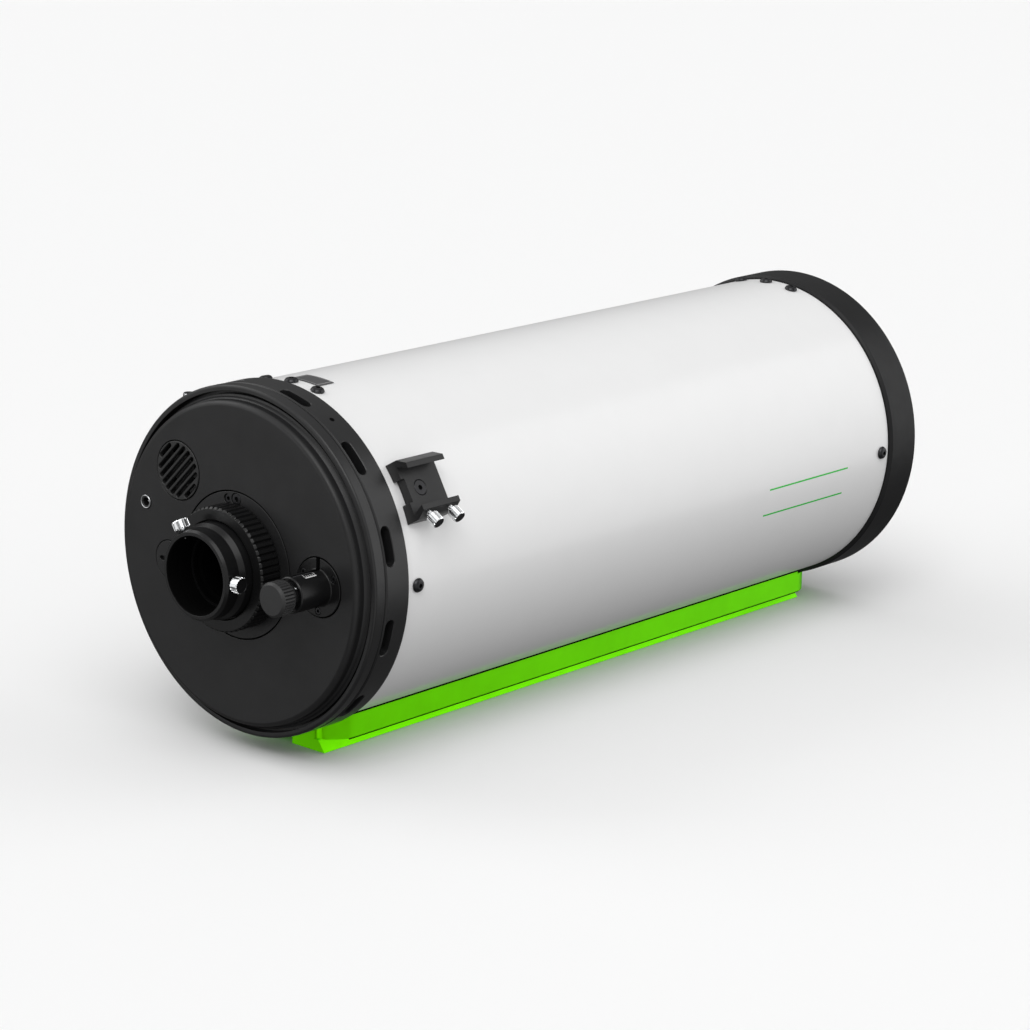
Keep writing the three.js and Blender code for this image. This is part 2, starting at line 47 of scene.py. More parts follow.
# ------------------------------------------------------------------ profiles
def fillet(profile, closed=True, step=13.0):
    """[(r, y[, radius])] with its corners rounded."""
    n = len(profile)
    out = []
    for i, p in enumerate(profile):
        f = p[2] if len(p) > 2 else 0.0
        b = Vector((p[0], p[1]))
        if f <= 0 or (not closed and i in (0, n - 1)):
            out.append(b)
            continue
        a = Vector(profile[i - 1][:2])
        c = Vector(profile[(i + 1) % n][:2])
        u, v = (a - b).normalized(), (c - b).normalized()
        ang = u.angle(v)
        if ang > rad(179):
            out.append(b)
            continue
        t = min(f / math.tan(ang / 2), 0.48 * (a - b).length, 0.48 * (c - b).length)
        f = t * math.tan(ang / 2)
        centre = b + (u + v).normalized() * (f / math.sin(ang / 2))
        s, e = b + u * t - centre, b + v * t - centre
        turn = s.angle(e)
        k = max(2, int(math.ceil(math.degrees(turn) / step)))
        sign = 1 if s.x * e.y - s.y * e.x > 0 else -1
        for j in range(k + 1):
            w = sign * turn * j / k
            out.append(centre + Vector((s.x * math.cos(w) - s.y * math.sin(w), s.x * math.sin(w) + s.y * math.cos(w))))
    return out


def radial(theta, y=0.0):
    """Local Y outward at angle theta, local X along the optical axis."""
    a = rad(theta)
    m = Matrix((
        (0, math.cos(a), math.sin(a), 0),
        (1, 0, 0, y),
        (0, math.sin(a), -math.cos(a), 0),
        (0, 0, 0, 1)))
    return m


def about(x, z, y=0.0):
    return Matrix.Translation((x, y, z))


# ------------------------------------------------------------------ mesh makers
def new_object(name, bm, mats, matrix=None, sharp=32.0):
    if matrix is not None:
        bmesh.ops.transform(bm, matrix=matrix, verts=bm.verts)
    bmesh.ops.recalc_face_normals(bm, faces=bm.faces)
    me = bpy.data.meshes.new(name)
    bm.to_mesh(me)
    bm.free()
    ob = bpy.data.objects.new(name, me)
    COLL.objects.link(ob)
    for m in mats if isinstance(mats, (list, tuple)) else [mats]:
        me.materials.append(m)
    ob["sharp"] = sharp
    return ob


def lathe_bm(profile, seg=160, closed=True, clamp=None):
    """A turned body about Y. clamp(theta, r, y) may pull a point's radius in, for flutes and knurls."""
    bm = bmesh.new()
    rings = []
    for k in range(seg):
        t = 2 * math.pi * k / seg
        ring = []
        for p in profile:
            r = p.x if clamp is None else clamp(t, p.x, p.y)
            ring.append((r * math.cos(t), p.y, r * math.sin(t)))
        rings.append(ring)
    n = len(profile)
    on_axis = [abs(p.x) < 1e-6 for p in profile]
    poles = {i: bm.verts.new((0, profile[i].y, 0)) for i in range(n) if on_axis[i]}
    vs = [[poles.get(i) or bm.verts.new(ring[i]) for i in range(n)] for ring in rings]
    last = n if closed else n - 1
    for k in range(seg):
        a, b = vs[k], vs[(k + 1) % seg]
        for i in range(last):
            j = (i + 1) % n
            if on_axis[i] and on_axis[j]:
                continue
            quad = []
            for v in (a[i], b[i], b[j], a[j]):
                if v not in quad:
                    quad.append(v)
            if len(quad) > 2:
                bm.faces.new(quad)
    return bm


def lathe(name, profile, mats, seg=160, matrix=None, clamp=None, sharp=32.0, step=13.0):
    closed = not (profile[0][0] == 0 and profile[-1][0] == 0)
    pts = fillet(profile, closed, step)
    return new_object(name, lathe_bm(pts, seg, closed, clamp), mats, matrix, sharp)


def prism_bm(points, y0, y1):
    """(x, z) outline extruded along Y."""
    bm = bmesh.new()
    low = [bm.verts.new((x, y0, z)) for x, z in points]
    high = [bm.verts.new((x, y1, z)) for x, z in points]
    n = len(points)
    for i in range(n):
        bm.faces.new((low[i], low[(i + 1) % n], high[(i + 1) % n], high[i]))
    bm.faces.new(low)
    bm.faces.new(high)
    return bm


def prism(name, points, y0, y1, mats, matrix=None, sharp=32.0):
    return new_object(name, prism_bm(points, y0, y1), mats, matrix, sharp)


def block(name, x0, x1, y0, y1, z0, z1, mats, matrix=None):
    return prism(name, [(x0, z0), (x1, z0), (x1, z1), (x0, z1)], y0, y1, mats, matrix)


def poly_circle(r, n, phase=0.0, cx=0.0, cz=0.0):
    return [(cx + r * math.cos(rad(phase) + 2 * math.pi * i / n), cz + r * math.sin(rad(phase) + 2 * math.pi * i / n)) for i in range(n)]


def slot_outline(length, width, n=12):
    r, c = width / 2, length / 2 - width / 2
    out = []
    for i in range(n + 1):
        a = -math.pi / 2 + math.pi * i / n
        out.append((c + r * math.cos(a), r * math.sin(a)))
    for i in range(n + 1):
        a = math.pi / 2 + math.pi * i / n
        out.append((-c + r * math.cos(a), r * math.sin(a)))
    return out


def grown(points_fn, levels):
    """Closed body through outlines: levels are (place, outline), joined one to the next."""
    bm = bmesh.new()
    rows = []
    for place, outline in levels:
        rows.append([bm.verts.new(place(u, v)) for u, v in outline])
    for a, b in zip(rows, rows[1:]):
        n = len(a)
        for i in range(n):
            bm.faces.new((a[i], a[(i + 1) % n], b[(i + 1) % n], b[i]))
    bm.faces.new(rows[0])
    bm.faces.new(rows[-1])
    return bm


def baked(ob):
    """Applies every modifier."""
    dg = bpy.context.evaluated_depsgraph_get()
    dg.update()
    me = bpy.data.meshes.new_from_object(ob.evaluated_get(dg), preserve_all_data_layers=True, depsgraph=dg)
    ob.modifiers.clear()
    old = ob.data
    ob.data = me
    bpy.data.meshes.remove(old)
    return ob


def cut(ob, *cutters, op="DIFFERENCE"):
    for c in cutters:
        m = ob.modifiers.new("cut", "BOOLEAN")
        m.operation = op
        m.solver = "EXACT"
        m.object = c
    baked(ob)
    for c in cutters:
        me = c.data
        bpy.data.objects.remove(c)
        bpy.data.meshes.remove(me)
    bm = bmesh.new()
    bm.from_mesh(ob.data)
    bmesh.ops.remove_doubles(bm, verts=bm.verts, dist=1e-4)
    bmesh.ops.dissolve_degenerate(bm, dist=1e-4, edges=bm.edges)
    bm.to_mesh(ob.data)
    bm.free()
    return ob


def bevel(ob, width, segments=2, angle=30.0):
    m = ob.modifiers.new("bevel", "BEVEL")
    m.width = width
    m.segments = segments
    m.limit_method = "ANGLE"
    m.angle_limit = rad(angle)
    m.use_clamp_overlap = True
    return baked(ob)


def shade(ob, round_y=False, centre=(0.0, 0.0)):
    """Smooth shading with hard edges kept. round_y gives true cylinder normals about the Y axis through centre."""
    me = ob.data
    bm = bmesh.new()
    bm.from_mesh(me)
    limit = rad(ob.get("sharp", 32.0))
    for f in bm.faces:
        f.smooth = True
    for e in bm.edges:
        e.smooth = len(e.link_faces) == 2 and e.calc_face_angle(0) < limit
    bm.to_mesh(me)
    bm.free()
    m = ob.modifiers.new("weighted", "WEIGHTED_NORMAL")
    m.keep_sharp = True
    m.weight = 60
    baked(ob)
    if round_y:
        me = ob.data
        normals = [tuple(n.vector) for n in me.corner_normals]
        for p in me.polygons:
            c = Vector(p.center)
            d = Vector((c.x - centre[0], 0, c.z - centre[1]))
            if d.length < 1e-6:
                continue
            d.normalize()
            if abs(p.normal.y) < 0.02 and abs(p.normal.dot(d)) > 0.985:
                s = 1 if p.normal.dot(d) > 0 else -1
                for li in p.loop_indices:
                    v = me.vertices[me.loops[li].vertex_index].co
                    w = Vector((v.x - centre[0], 0, v.z - centre[1])).normalized() * s
                    normals[li] = tuple(w)
        me.normals_split_custom_set(normals)
    return ob


def place(ob, body, *nodes, slot=None):
    """Into the row frame, onto its body, in place of CAD nodes."""
    me = ob.data
    me.transform(Matrix.Translation(OFFSET))
    me.transform(Matrix.Scale(MM, 4))
    me.update()
    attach(ob, body)
    if nodes:
        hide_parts(*nodes)
    if "sharp" in ob:
        del ob["sharp"]
    return ob


def copy_of(ob, name, matrix):
    me = ob.data.copy()
    me.name = name
    me.transform(matrix)
    o = bpy.data.objects.new(name, me)
    COLL.objects.link(o)
    return o


def discard(ob):
    me = ob.data
    bpy.data.objects.remove(ob)
    bpy.data.meshes.remove(me)


# ------------------------------------------------------------------ materials
def material(name, color, rough, metal=0.0, coat=0.0, coat_rough=0.05, grain=None, mottle=0.0, rough_var=0.0, spec=0.5, extra=None, brushed=None, wear=None):
    """grain = (size in mm, height in mm, strength); mottle varies the colour; wear lightens convex edges."""
    m = bpy.data.materials.new(name)
    m.use_nodes = True
    nt = m.node_tree
    nt.nodes.clear()
    out = nt.nodes.new("ShaderNodeOutputMaterial")
    b = nt.nodes.new("ShaderNodeBsdfPrincipled")
    nt.links.new(b.outputs[0], out.inputs[0])
    b.inputs["Base Color"].default_value = (*color, 1)
    b.inputs["Roughness"].default_value = rough
    b.inputs["Metallic"].default_value = metal
    b.inputs["Specular IOR Level"].default_value = spec
    b.inputs["Coat Weight"].default_value = coat
    b.inputs["Coat Roughness"].default_value = coat_rough
    tc = nt.nodes.new("ShaderNodeTexCoord")

    def noise(scale, detail=3.0, rough_=0.55, vec=None):
        n = nt.nodes.new("ShaderNodeTexNoise")
        n.inputs["Scale"].default_value = scale
        n.inputs["Detail"].default_value = detail
        n.inputs["Roughness"].default_value = rough_
        nt.links.new(vec or tc.outputs["Object"], n.inputs["Vector"])
        return n

    def ramp(src, lo, hi, a, c):
        r = nt.nodes.new("ShaderNodeMapRange")
        r.inputs["From Min"].default_value = lo
        r.inputs["From Max"].default_value = hi
        r.inputs["To Min"].default_value = a
        r.inputs["To Max"].default_value = c
        nt.links.new(src, r.inputs["Value"])
        return r.outputs["Result"]

    col = None
    if mottle:
        n = noise(38.0, 4.0)
        mix = nt.nodes.new("ShaderNodeMix")
        mix.data_type = "RGBA"
        lo = tuple(max(0.0, c * (1 - mottle)) for c in color)
        hi = tuple(min(1.0, c * (1 + mottle)) for c in color)
        mix.inputs[6].default_value = (*lo, 1)
        mix.inputs[7].default_value = (*hi, 1)
        nt.links.new(ramp(n.outputs["Fac"], 0.3, 0.7, 0.0, 1.0), mix.inputs[0])
        col = mix.outputs[2]
    if rough_var:
        n = noise(90.0, 5.0)
        nt.links.new(ramp(n.outputs["Fac"], 0.3, 0.7, rough - rough_var, rough + rough_var), b.inputs["Roughness"])
    if grain:
        size, height, strength = grain
        n = noise(1000.0 / size, 2.0, 0.6)
        bp = nt.nodes.new("ShaderNodeBump")
        bp.inputs["Distance"].default_value = height * MM
        bp.inputs["Strength"].default_value = strength
        nt.links.new(n.outputs["Fac"], bp.inputs["Height"])
        nt.links.new(bp.outputs[0], b.inputs["Normal"])
    if brushed:
        mp = nt.nodes.new("ShaderNodeMapping")
        mp.inputs["Scale"].default_value = brushed
        nt.links.new(tc.outputs["Object"], mp.inputs["Vector"])
        n = noise(1.0, 4.0, 0.6, mp.outputs[0])
        bp = nt.nodes.new("ShaderNodeBump")
        bp.inputs["Distance"].default_value = 0.00004
        bp.inputs["Strength"].default_value = 0.35
        nt.links.new(n.outputs["Fac"], bp.inputs["Height"])
        nt.links.new(bp.outputs[0], b.inputs["Normal"])
    if wear:
        g = nt.nodes.new("ShaderNodeNewGeometry")
        f = ramp(g.outputs["Pointiness"], 0.53, 0.62, 0.0, wear[0])
        mix = nt.nodes.new("ShaderNodeMix")
        mix.data_type = "RGBA"
        mix.inputs[6].default_value = (*color, 1)
        if col is not None:
            nt.links.new(col, mix.inputs[6])
        mix.inputs[7].default_value = (*wear[1], 1)
        nt.links.new(f, mix.inputs[0])
        col = mix.outputs[2]
    if extra:
        col = extra(nt, b, tc, col) or col
    if col is not None:
        nt.links.new(col, b.inputs["Base Color"])
    return m


def node_math(nt, op, a, b=None, clamp=False):
    n = nt.nodes.new("ShaderNodeMath")
    n.operation = op
    n.use_clamp = clamp
    for i, v in enumerate((a, b)):
        if v is None:
            continue
        if isinstance(v, (int, float)):
            n.inputs[i].default_value = v
        else:
            nt.links.new(v, n.inputs[i])
    return n.outputs[0]


AXIS_Z = OFFSET.z * MM


def pinstripes(nt, b, tc, col):
    """Two thin green lines along the tube's right side, painted by place on the surface."""
    sep = nt.nodes.new("ShaderNodeSeparateXYZ")
    nt.links.new(tc.outputs["Object"], sep.inputs[0])
    z = node_math(nt, "SUBTRACT", sep.outputs["Z"], AXIS_Z)
    ang = node_math(nt, "MULTIPLY", node_math(nt, "ARCTAN2", z, sep.outputs["X"]), 180 / math.pi)
    total = None
    for centre, y0, y1 in PINSTRIPES:
        d = node_math(nt, "ABSOLUTE", node_math(nt, "SUBTRACT", ang, centre))
        near = node_math(nt, "LESS_THAN", d, 0.31)
        a = node_math(nt, "GREATER_THAN", sep.outputs["Y"], (y0 - 264.5) * MM)
        c = node_math(nt, "LESS_THAN", sep.outputs["Y"], (y1 - 264.5) * MM)
        f = node_math(nt, "MULTIPLY", near, node_math(nt, "MULTIPLY", a, c))
        total = f if total is None else node_math(nt, "MAXIMUM", total, f)
    mix = nt.nodes.new("ShaderNodeMix")
    mix.data_type = "RGBA"
    mix.inputs[6].default_value = (0.86, 0.86, 0.86, 1)
    if col is not None:
        nt.links.new(col, mix.inputs[6])
    mix.inputs[7].default_value = (0.0, 0.58, 0.03, 1)
    nt.links.new(total, mix.inputs[0])
    return mix.outputs[2]


PINSTRIPES = [(-2.25, 381.0, 476.0), (-11.9, 377.0, 473.0)]

M = {}
M["tube_white"] = material("tube_white", (0.85, 0.85, 0.85), 0.38, coat=0.3, coat_rough=0.16, grain=(14.0, 0.02, 0.25), mottle=0.006, extra=pinstripes)
M["black_satin"] = material("black_satin", (0.0145, 0.0145, 0.015), 0.41, spec=0.34, grain=(0.55, 0.09, 0.4), mottle=0.12, rough_var=0.04)
M["black_band"] = material("black_band", (0.013, 0.013, 0.0135), 0.37, spec=0.42, grain=(0.4, 0.035, 0.3), mottle=0.1, rough_var=0.03)
M["black_cell"] = material("black_cell", (0.011, 0.011, 0.0115), 0.46, spec=0.22, grain=(0.4, 0.05, 0.35), mottle=0.1, rough_var=0.03)
M["black_machined"] = material("black_machined", (0.007, 0.007, 0.0073), 0.28, spec=0.3, mottle=0.1, brushed=(60, 2600, 60))
M["black_matt"] = material("black_matt", (0.0022, 0.0022, 0.0022), 0.9, spec=0.03, grain=(0.5, 0.05, 0.4), mottle=0.2)
M["black_plastic"] = material("black_plastic", (0.016, 0.016, 0.016), 0.5, grain=(0.35, 0.03, 0.3), mottle=0.15)
M["knob_black"] = material("knob_black", (0.020, 0.020, 0.0205), 0.50, grain=(0.3, 0.03, 0.3), mottle=0.12)
M["screw_black"] = material("screw_black", (0.03, 0.03, 0.032), 0.28, metal=0.75, mottle=0.2, grain=(0.8, 0.02, 0.2))
M["chrome_parts"] = material("chrome_parts", (0.86, 0.87, 0.88), 0.07, metal=1.0, mottle=0.03, grain=(1.5, 0.01, 0.15))
M["green_anodised"] = material("green_anodised", (0.20, 0.92, 0.0), 0.44, metal=1.0, mottle=0.04, grain=(0.5, 0.03, 0.25), rough_var=0.03)
M["steel_shaft"] = material("steel_shaft", (0.55, 0.55, 0.56), 0.2, metal=1.0, mottle=0.05, brushed=(60, 3000, 60))
M["aluminium_bare"] = material("aluminium_bare", (0.6, 0.61, 0.62), 0.3, metal=1.0, mottle=0.05, brushed=(50, 2200, 50))
M["brass_nut"] = material("brass_nut", (0.69, 0.50, 0.19), 0.25, metal=1.0, mottle=0.06, brushed=(50, 2200, 50))
M["mirror_coating"] = material("mirror_coating", (0.92, 0.94, 0.95), 0.02, metal=1.0, mottle=0.01)
M["mirror_back"] = material("mirror_back", (0.30, 0.36, 0.34), 0.45, mottle=0.08, grain=(0.6, 0.03, 0.3))
M["window_grey"] = material("window_grey", (0.055, 0.055, 0.06), 0.08, coat=1.0, mottle=0.05)
M["scale_white"] = material("scale_white", (0.7, 0.7, 0.7), 0.35, mottle=0.03)
M["jack_black"] = material("jack_black", (0.01, 0.01, 0.01), 0.35, mottle=0.1)


def label_pattern(nt, b, tc, col):
    """A plain border line inside the edge of the blank plate."""
    sep = nt.nodes.new("ShaderNodeSeparateXYZ")
    nt.links.new(tc.outputs["Object"], sep.inputs[0])
    z = node_math(nt, "SUBTRACT", sep.outputs["Z"], AXIS_Z)
    ang = node_math(nt, "MULTIPLY", node_math(nt, "ARCTAN2", z, sep.outputs["X"]), 180 / math.pi)
    u = node_math(nt, "DIVIDE", node_math(nt, "ABSOLUTE", node_math(nt, "SUBTRACT", ang, 87.25)), 6.25)
    v = node_math(nt, "DIVIDE", node_math(nt, "ABSOLUTE", node_math(nt, "SUBTRACT", sep.outputs["Y"], (24.75 - 264.5) * MM)), 7.25 * MM)
    e = node_math(nt, "MAXIMUM", u, v)
    line = node_math(nt, "MULTIPLY", node_math(nt, "GREATER_THAN", e, 0.84), node_math(nt, "LESS_THAN", e, 0.89))
    mix = nt.nodes.new("ShaderNodeMix")
    mix.data_type = "RGBA"
    nt.links.new(line, mix.inputs[0])
    if col is not None:
        nt.links.new(col, mix.inputs[6])
    mix.inputs[7].default_value = (0.35, 0.35, 0.35, 1)
    return mix.outputs[2]


M["label_grey"] = material("label_grey", (0.075, 0.075, 0.078), 0.3, mottle=0.1, extra=label_pattern)


def glass(name, tint, rough=0.0, ior=1.5):
    m = bpy.data.materials.new(name)
    m.use_nodes = True
    nt = m.node_tree
    b = nt.nodes["Principled BSDF"]
    b.inputs["Base Color"].default_value = (*tint, 1)
    b.inputs["Roughness"].default_value = rough
    b.inputs["IOR"].default_value = ior
    b.inputs["Transmission Weight"].default_value = 1.0
    tc = nt.nodes.new("ShaderNodeTexCoord")
    n = nt.nodes.new("ShaderNodeTexNoise")
    n.inputs["Scale"].default_value = 25.0
    nt.links.new(tc.outputs["Object"], n.inputs["Vector"])
    r = nt.nodes.new("ShaderNodeMapRange")
    r.inputs["To Min"].default_value = rough
    r.inputs["To Max"].default_value = rough + 0.012
    nt.links.new(n.outputs["Fac"], r.inputs["Value"])
    nt.links.new(r.outputs["Result"], b.inputs["Roughness"])
    return m


M["optical_glass"] = glass("optical_glass", (0.93, 0.98, 0.95), 0.0, 1.517)

ROOT = "optical_tube"


# ------------------------------------------------------------------ cutters
def rod_cutter(r, y0, y1, x=0.0, z=0.0, n=48):
    return prism("cutter", poly_circle(r, n), y0, y1, [], about(x, z))


def flared_cutter(r, y_face, depth, x, z, chamfer=0.3, n=48, sign=-1):
    """A hole opening towards sign*Y at y_face with a small chamfer."""
    prof = [(0, y_face - sign * depth), (r, y_face - sign * depth), (r, y_face - sign * chamfer), (r + chamfer * 2, y_face + sign * chamfer), (0, y_face + sign * chamfer)]
    return lathe("cutter", prof, [], n, about(x, z))


def radial_cutter(r, theta, y, rho0, rho1, n=32):
    return prism("cutter", poly_circle(r, n), rho0, rho1, [], radial(theta, y))


def arc_slot_cutter(theta, y, length, width, surface_r, rho_in, chamfer):
    """A round-ended slot wrapped round the Y axis, with an even chamfer at surface_r."""
    def at(rho):
        def f(u, v):
            a = rad(theta) + u / surface_r
            return (rho * math.cos(a), y + v, rho * math.sin(a))
        return f
    base = slot_outline(length, width, 10)
    wide = slot_outline(length + 2 * chamfer, width + 2 * chamfer, 10)
    wider = slot_outline(length + 6 * chamfer, width + 6 * chamfer, 10)
    # split the long sides so that the wrap is smooth
    def dense(o):
        out = []
        n = len(o)
        for i in range(n):
            a, b = o[i], o[(i + 1) % n]
            d = math.dist(a, b)
            k = max(1, int(d / 3.0))
            for j in range(k):
                out.append((a[0] + (b[0] - a[0]) * j / k, a[1] + (b[1] - a[1]) * j / k))
        return out
    base, wide, wider = dense(base), dense(wide), dense(wider)
    n = min(len(base), len(wide), len(wider))
    if not (len(base) == len(wide) == len(wider)):
        base, wide, wider = slot_outline(length, width, 10), slot_outline(length + 2 * chamfer, width + 2 * chamfer, 10), slot_outline(length + 6 * chamfer, width + 6 * chamfer, 10)
    bm = grown(None, [(at(rho_in), base), (at(surface_r - chamfer), base), (at(surface_r), wide), (at(surface_r + 2 * chamfer), wider)])
    return new_object("cutter", bm, [])


SCREW_ANGLES = (0, 78, 90, 102, 180)
SHOES = {"right": 30, "left": 150}
FAN, JACK, PLUG, FOC = (-53.8, 53.0), (-84.4, 26.5), (-62.2, -8.9), (74.2, 0.5)

# ------------------------------------------------------------------ main tube
tube = lathe("main_tube_skin", [(111, 0.3), (113, 0.3, 0.35), (113, 526.7, 0.35), (111, 526.7)], [M["tube_white"], M["black_matt"]], 288)
cut(tube, *[radial_cutter(2.4, a, y, 105, 118) for a in SCREW_ANGLES for y in (11, 518)],
    *[radial_cutter(2.9, a, 22.2, 105, 118) for a in SHOES.values()],
    *[radial_cutter(3.4, 270, y, 105, 118) for y in (26, 518)])
for p in tube.data.polygons:
    c = p.center
    if p.normal.x * c.x + p.normal.z * c.z < 0 or math.hypot(c.x, c.z) < 111.6:
        p.material_index = 1
shade(tube, round_y=True)
place(tube, ROOT, "main_tube", slot="tube_white")

# ------------------------------------------------------------------ front cell and corrector
cell = lathe("front_cell_casting", [
    (104, 505, 0.3), (110.7, 505, 0.3), (110.7, 527), (114.2, 527, 0.3), (116, 528.9, 0.5), (116, 557.8, 0.35),
    (103.2, 557.8, 0.6), (101.5, 556.2, 0.6), (101.5, 524), (99, 524, 0.3), (99, 518, 0.6)], M["black_cell"], 288)
cut(cell, *[radial_cutter(2.4, a, 518, 107.6, 114) for a in SCREW_ANGLES], radial_cutter(3.4, 270, 518, 105.4, 114))
shade(cell, round_y=True)
place(cell, ROOT, "front_cell", slot="black_satin")


def arc_points(r0, r1, n, f):
    return [(r0 + (r1 - r0) * i / n, f(r0 + (r1 - r0) * i / n)) for i in range(n + 1)]


rear_face = arc_points(0, 98, 15, lambda r: 507 + r * r / (2 * 305))
front_face = arc_points(0, 100.4, 16, lambda r: 524 + r * r / (2 * 298))[::-1]
front_face[-1] = (0, 524)
lens = lathe("corrector_meniscus", rear_face + [(98, 524.4), (101, 524.4, 0.3), (101, 540.6)] + front_face, M["optical_glass"], 192)
shade(lens)
place(lens, ROOT, "corrector_lens", slot="optical_glass")

ring = lathe("corrector_clamp_ring", [(98, 542.2, 0.3), (101.2, 542.2), (101.2, 546.3, 0.3), (98.7, 546.3, 0.3), (98, 545.6, 0.3)], M["black_matt"], 224)
cut(ring, *[block("cutter", -2, 2, 544.9, 548, 97, 103, [], Matrix.Rotation(rad(k * 90 + 45), 4, "Y")) for k in range(4)])
shade(ring)
place(ring, ROOT, "corrector_retaining_ring", slot="black_matt")

baf = lathe("secondary_baffle_cup", [(0, 503), (25.5, 503, 0.4), (25.5, 470, 0.3), (27, 470, 0.3), (27, 507.6), (14, 506.9), (0, 506.6)], M["black_matt"], 96)
shade(baf)
place(baf, ROOT, "secondary_baffle", slot="black_matt")

# ------------------------------------------------------------------ vent ring
vr = lathe("vent_ring_casting", [
    (106, -20.3), (115.0, -20.3, 0.3), (116, -19.5, 0.5), (116, 0, 0.3), (110.7, 0), (110.7, 34, 0.4), (106, 34, 0.4)], [M["black_band"], M["black_matt"]], 288)
cut(vr, *[arc_slot_cutter(15 + 30 * k, -15.2, 25.7, 7.7, 116, 100, 0.45) for k in range(12)],
    *[radial_cutter(2.4, a, 11, 107.6, 114) for a in SCREW_ANGLES],
    *[radial_cutter(2.9, a, 22.2, 107.2, 114) for a in SHOES.values()],
    radial_cutter(3.4, 270, 26, 107.2, 114),
    radial_cutter(1.8, 60.6, -9.7, 109, 120))
for p in vr.data.polygons:
    c = p.center
    if math.hypot(c.x, c.z) < 108 and p.normal.x * c.x + p.normal.z * c.z < 0:
        p.material_index = 1
shade(vr, round_y=True)
place(vr, ROOT, "vent_ring", slot="black_satin")

# ------------------------------------------------------------------ rear cell band and bulkhead
rc = lathe("rear_cell_casting", [
    (22.4, -24.6, 0.3), (112, -24.6), (112, -30.5, 0.35), (116, -30.5, 4.3), (116, -22.5, 0.4), (115, -22.1), (115, -20.6), (22.4, -20.6, 0.3)],
    M["black_band"], 288)
cut(rc, rod_cutter(17, -40, 0, *FAN), rod_cutter(3.6, -40, 0, *FOC, 24),
    *[rod_cutter(2.4, -40, 0, 43.5 * math.cos(rad(90 + 120 * k)), 43.5 * math.sin(rad(90 + 120 * k)), 24) for k in range(3)])
shade(rc, round_y=True)
place(rc, ROOT, "rear_cell", slot="black_satin")

# ------------------------------------------------------------------ back cover
bc = lathe("back_cover_shell", [
    (110, -24.9), (110, -28.5, 0.5), (108.6, -29.2, 0.4), (107.7, -30.7, 0.5), (107, -31.4, 0.5), (107, -38.4, 4.6), (49.0, -38.4, 0.4),
    (48.9, -35.2), (104, -35.2, 2.5), (104, -24.9)], M["black_satin"], 288)
cut(bc, flared_cutter(20.0, -38.4, 12, *FAN, 0.3, 96), flared_cutter(19.7, -38.4, 12, *FOC, 0.3, 96),
    flared_cutter(4.75, -38.4, 12, *JACK, 0.2), flared_cutter(13.45, -38.4, 12, *PLUG, 0.2, 80))
shade(bc, round_y=True)
place(bc, ROOT, "back_cover", slot="black_satin")

# ------------------------------------------------------------------ grille and fan
gr = lathe("vent_grille_disc", [(0, -36), (19.4, -36), (19.4, -38.8, 0.5), (0, -38.8)], M["black_plastic"], 128, about(*FAN))
cutters = []
for k in range(8):
    off = (k - 3.5) * 4.7
    half = math.sqrt(17.9 ** 2 - off ** 2)
    base = slot_outline(2 * half, 2.9, 8)
    wide = slot_outline(2 * half + 0.7, 3.6, 8)
    m = about(*FAN) @ Matrix.Rotation(rad(-45), 4, "Y") @ Matrix.Translation((0, 0, off))
    bm = grown(None, [
        (lambda u, v: (u, -30, v), base), (lambda u, v: (u, -38.45, v), base), (lambda u, v: (u, -38.85, v), wide), (lambda u, v: (u, -40, v), wide)])
    cutters.append(new_object("cutter", bm, [], m))
cut(gr, *cutters)
shade(gr)
place(gr, ROOT, "vent_grille", slot="black_plastic")

fr = prism("fan_frame_body", [(-20, -20), (20, -20), (20, 20), (-20, 20)], -34.9, -25.1, M["black_plastic"], about(*FAN) @ Matrix.Rotation(rad(45), 4, "Y"))
cut(fr, rod_cutter(19, -50, 0, *FAN, 96))
hub = lathe("cutter", [(1.8, -26.9, 0.2), (9, -26.9, 0.4), (9, -25.1), (1.8, -25.1)], [], 64, about(*FAN))
arms = [block("cutter", 6, 19.6, -26.9, -25.1, -1.2, 1.2, [], about(*FAN) @ Matrix.Rotation(rad(75 + 120 * k), 4, "Y")) for k in range(3)]
cut(fr, hub, *arms, op="UNION")
bevel(fr, 0.3, 2, 50)
shade(fr)
place(fr, ROOT, "fan_frame", slot="black_plastic")

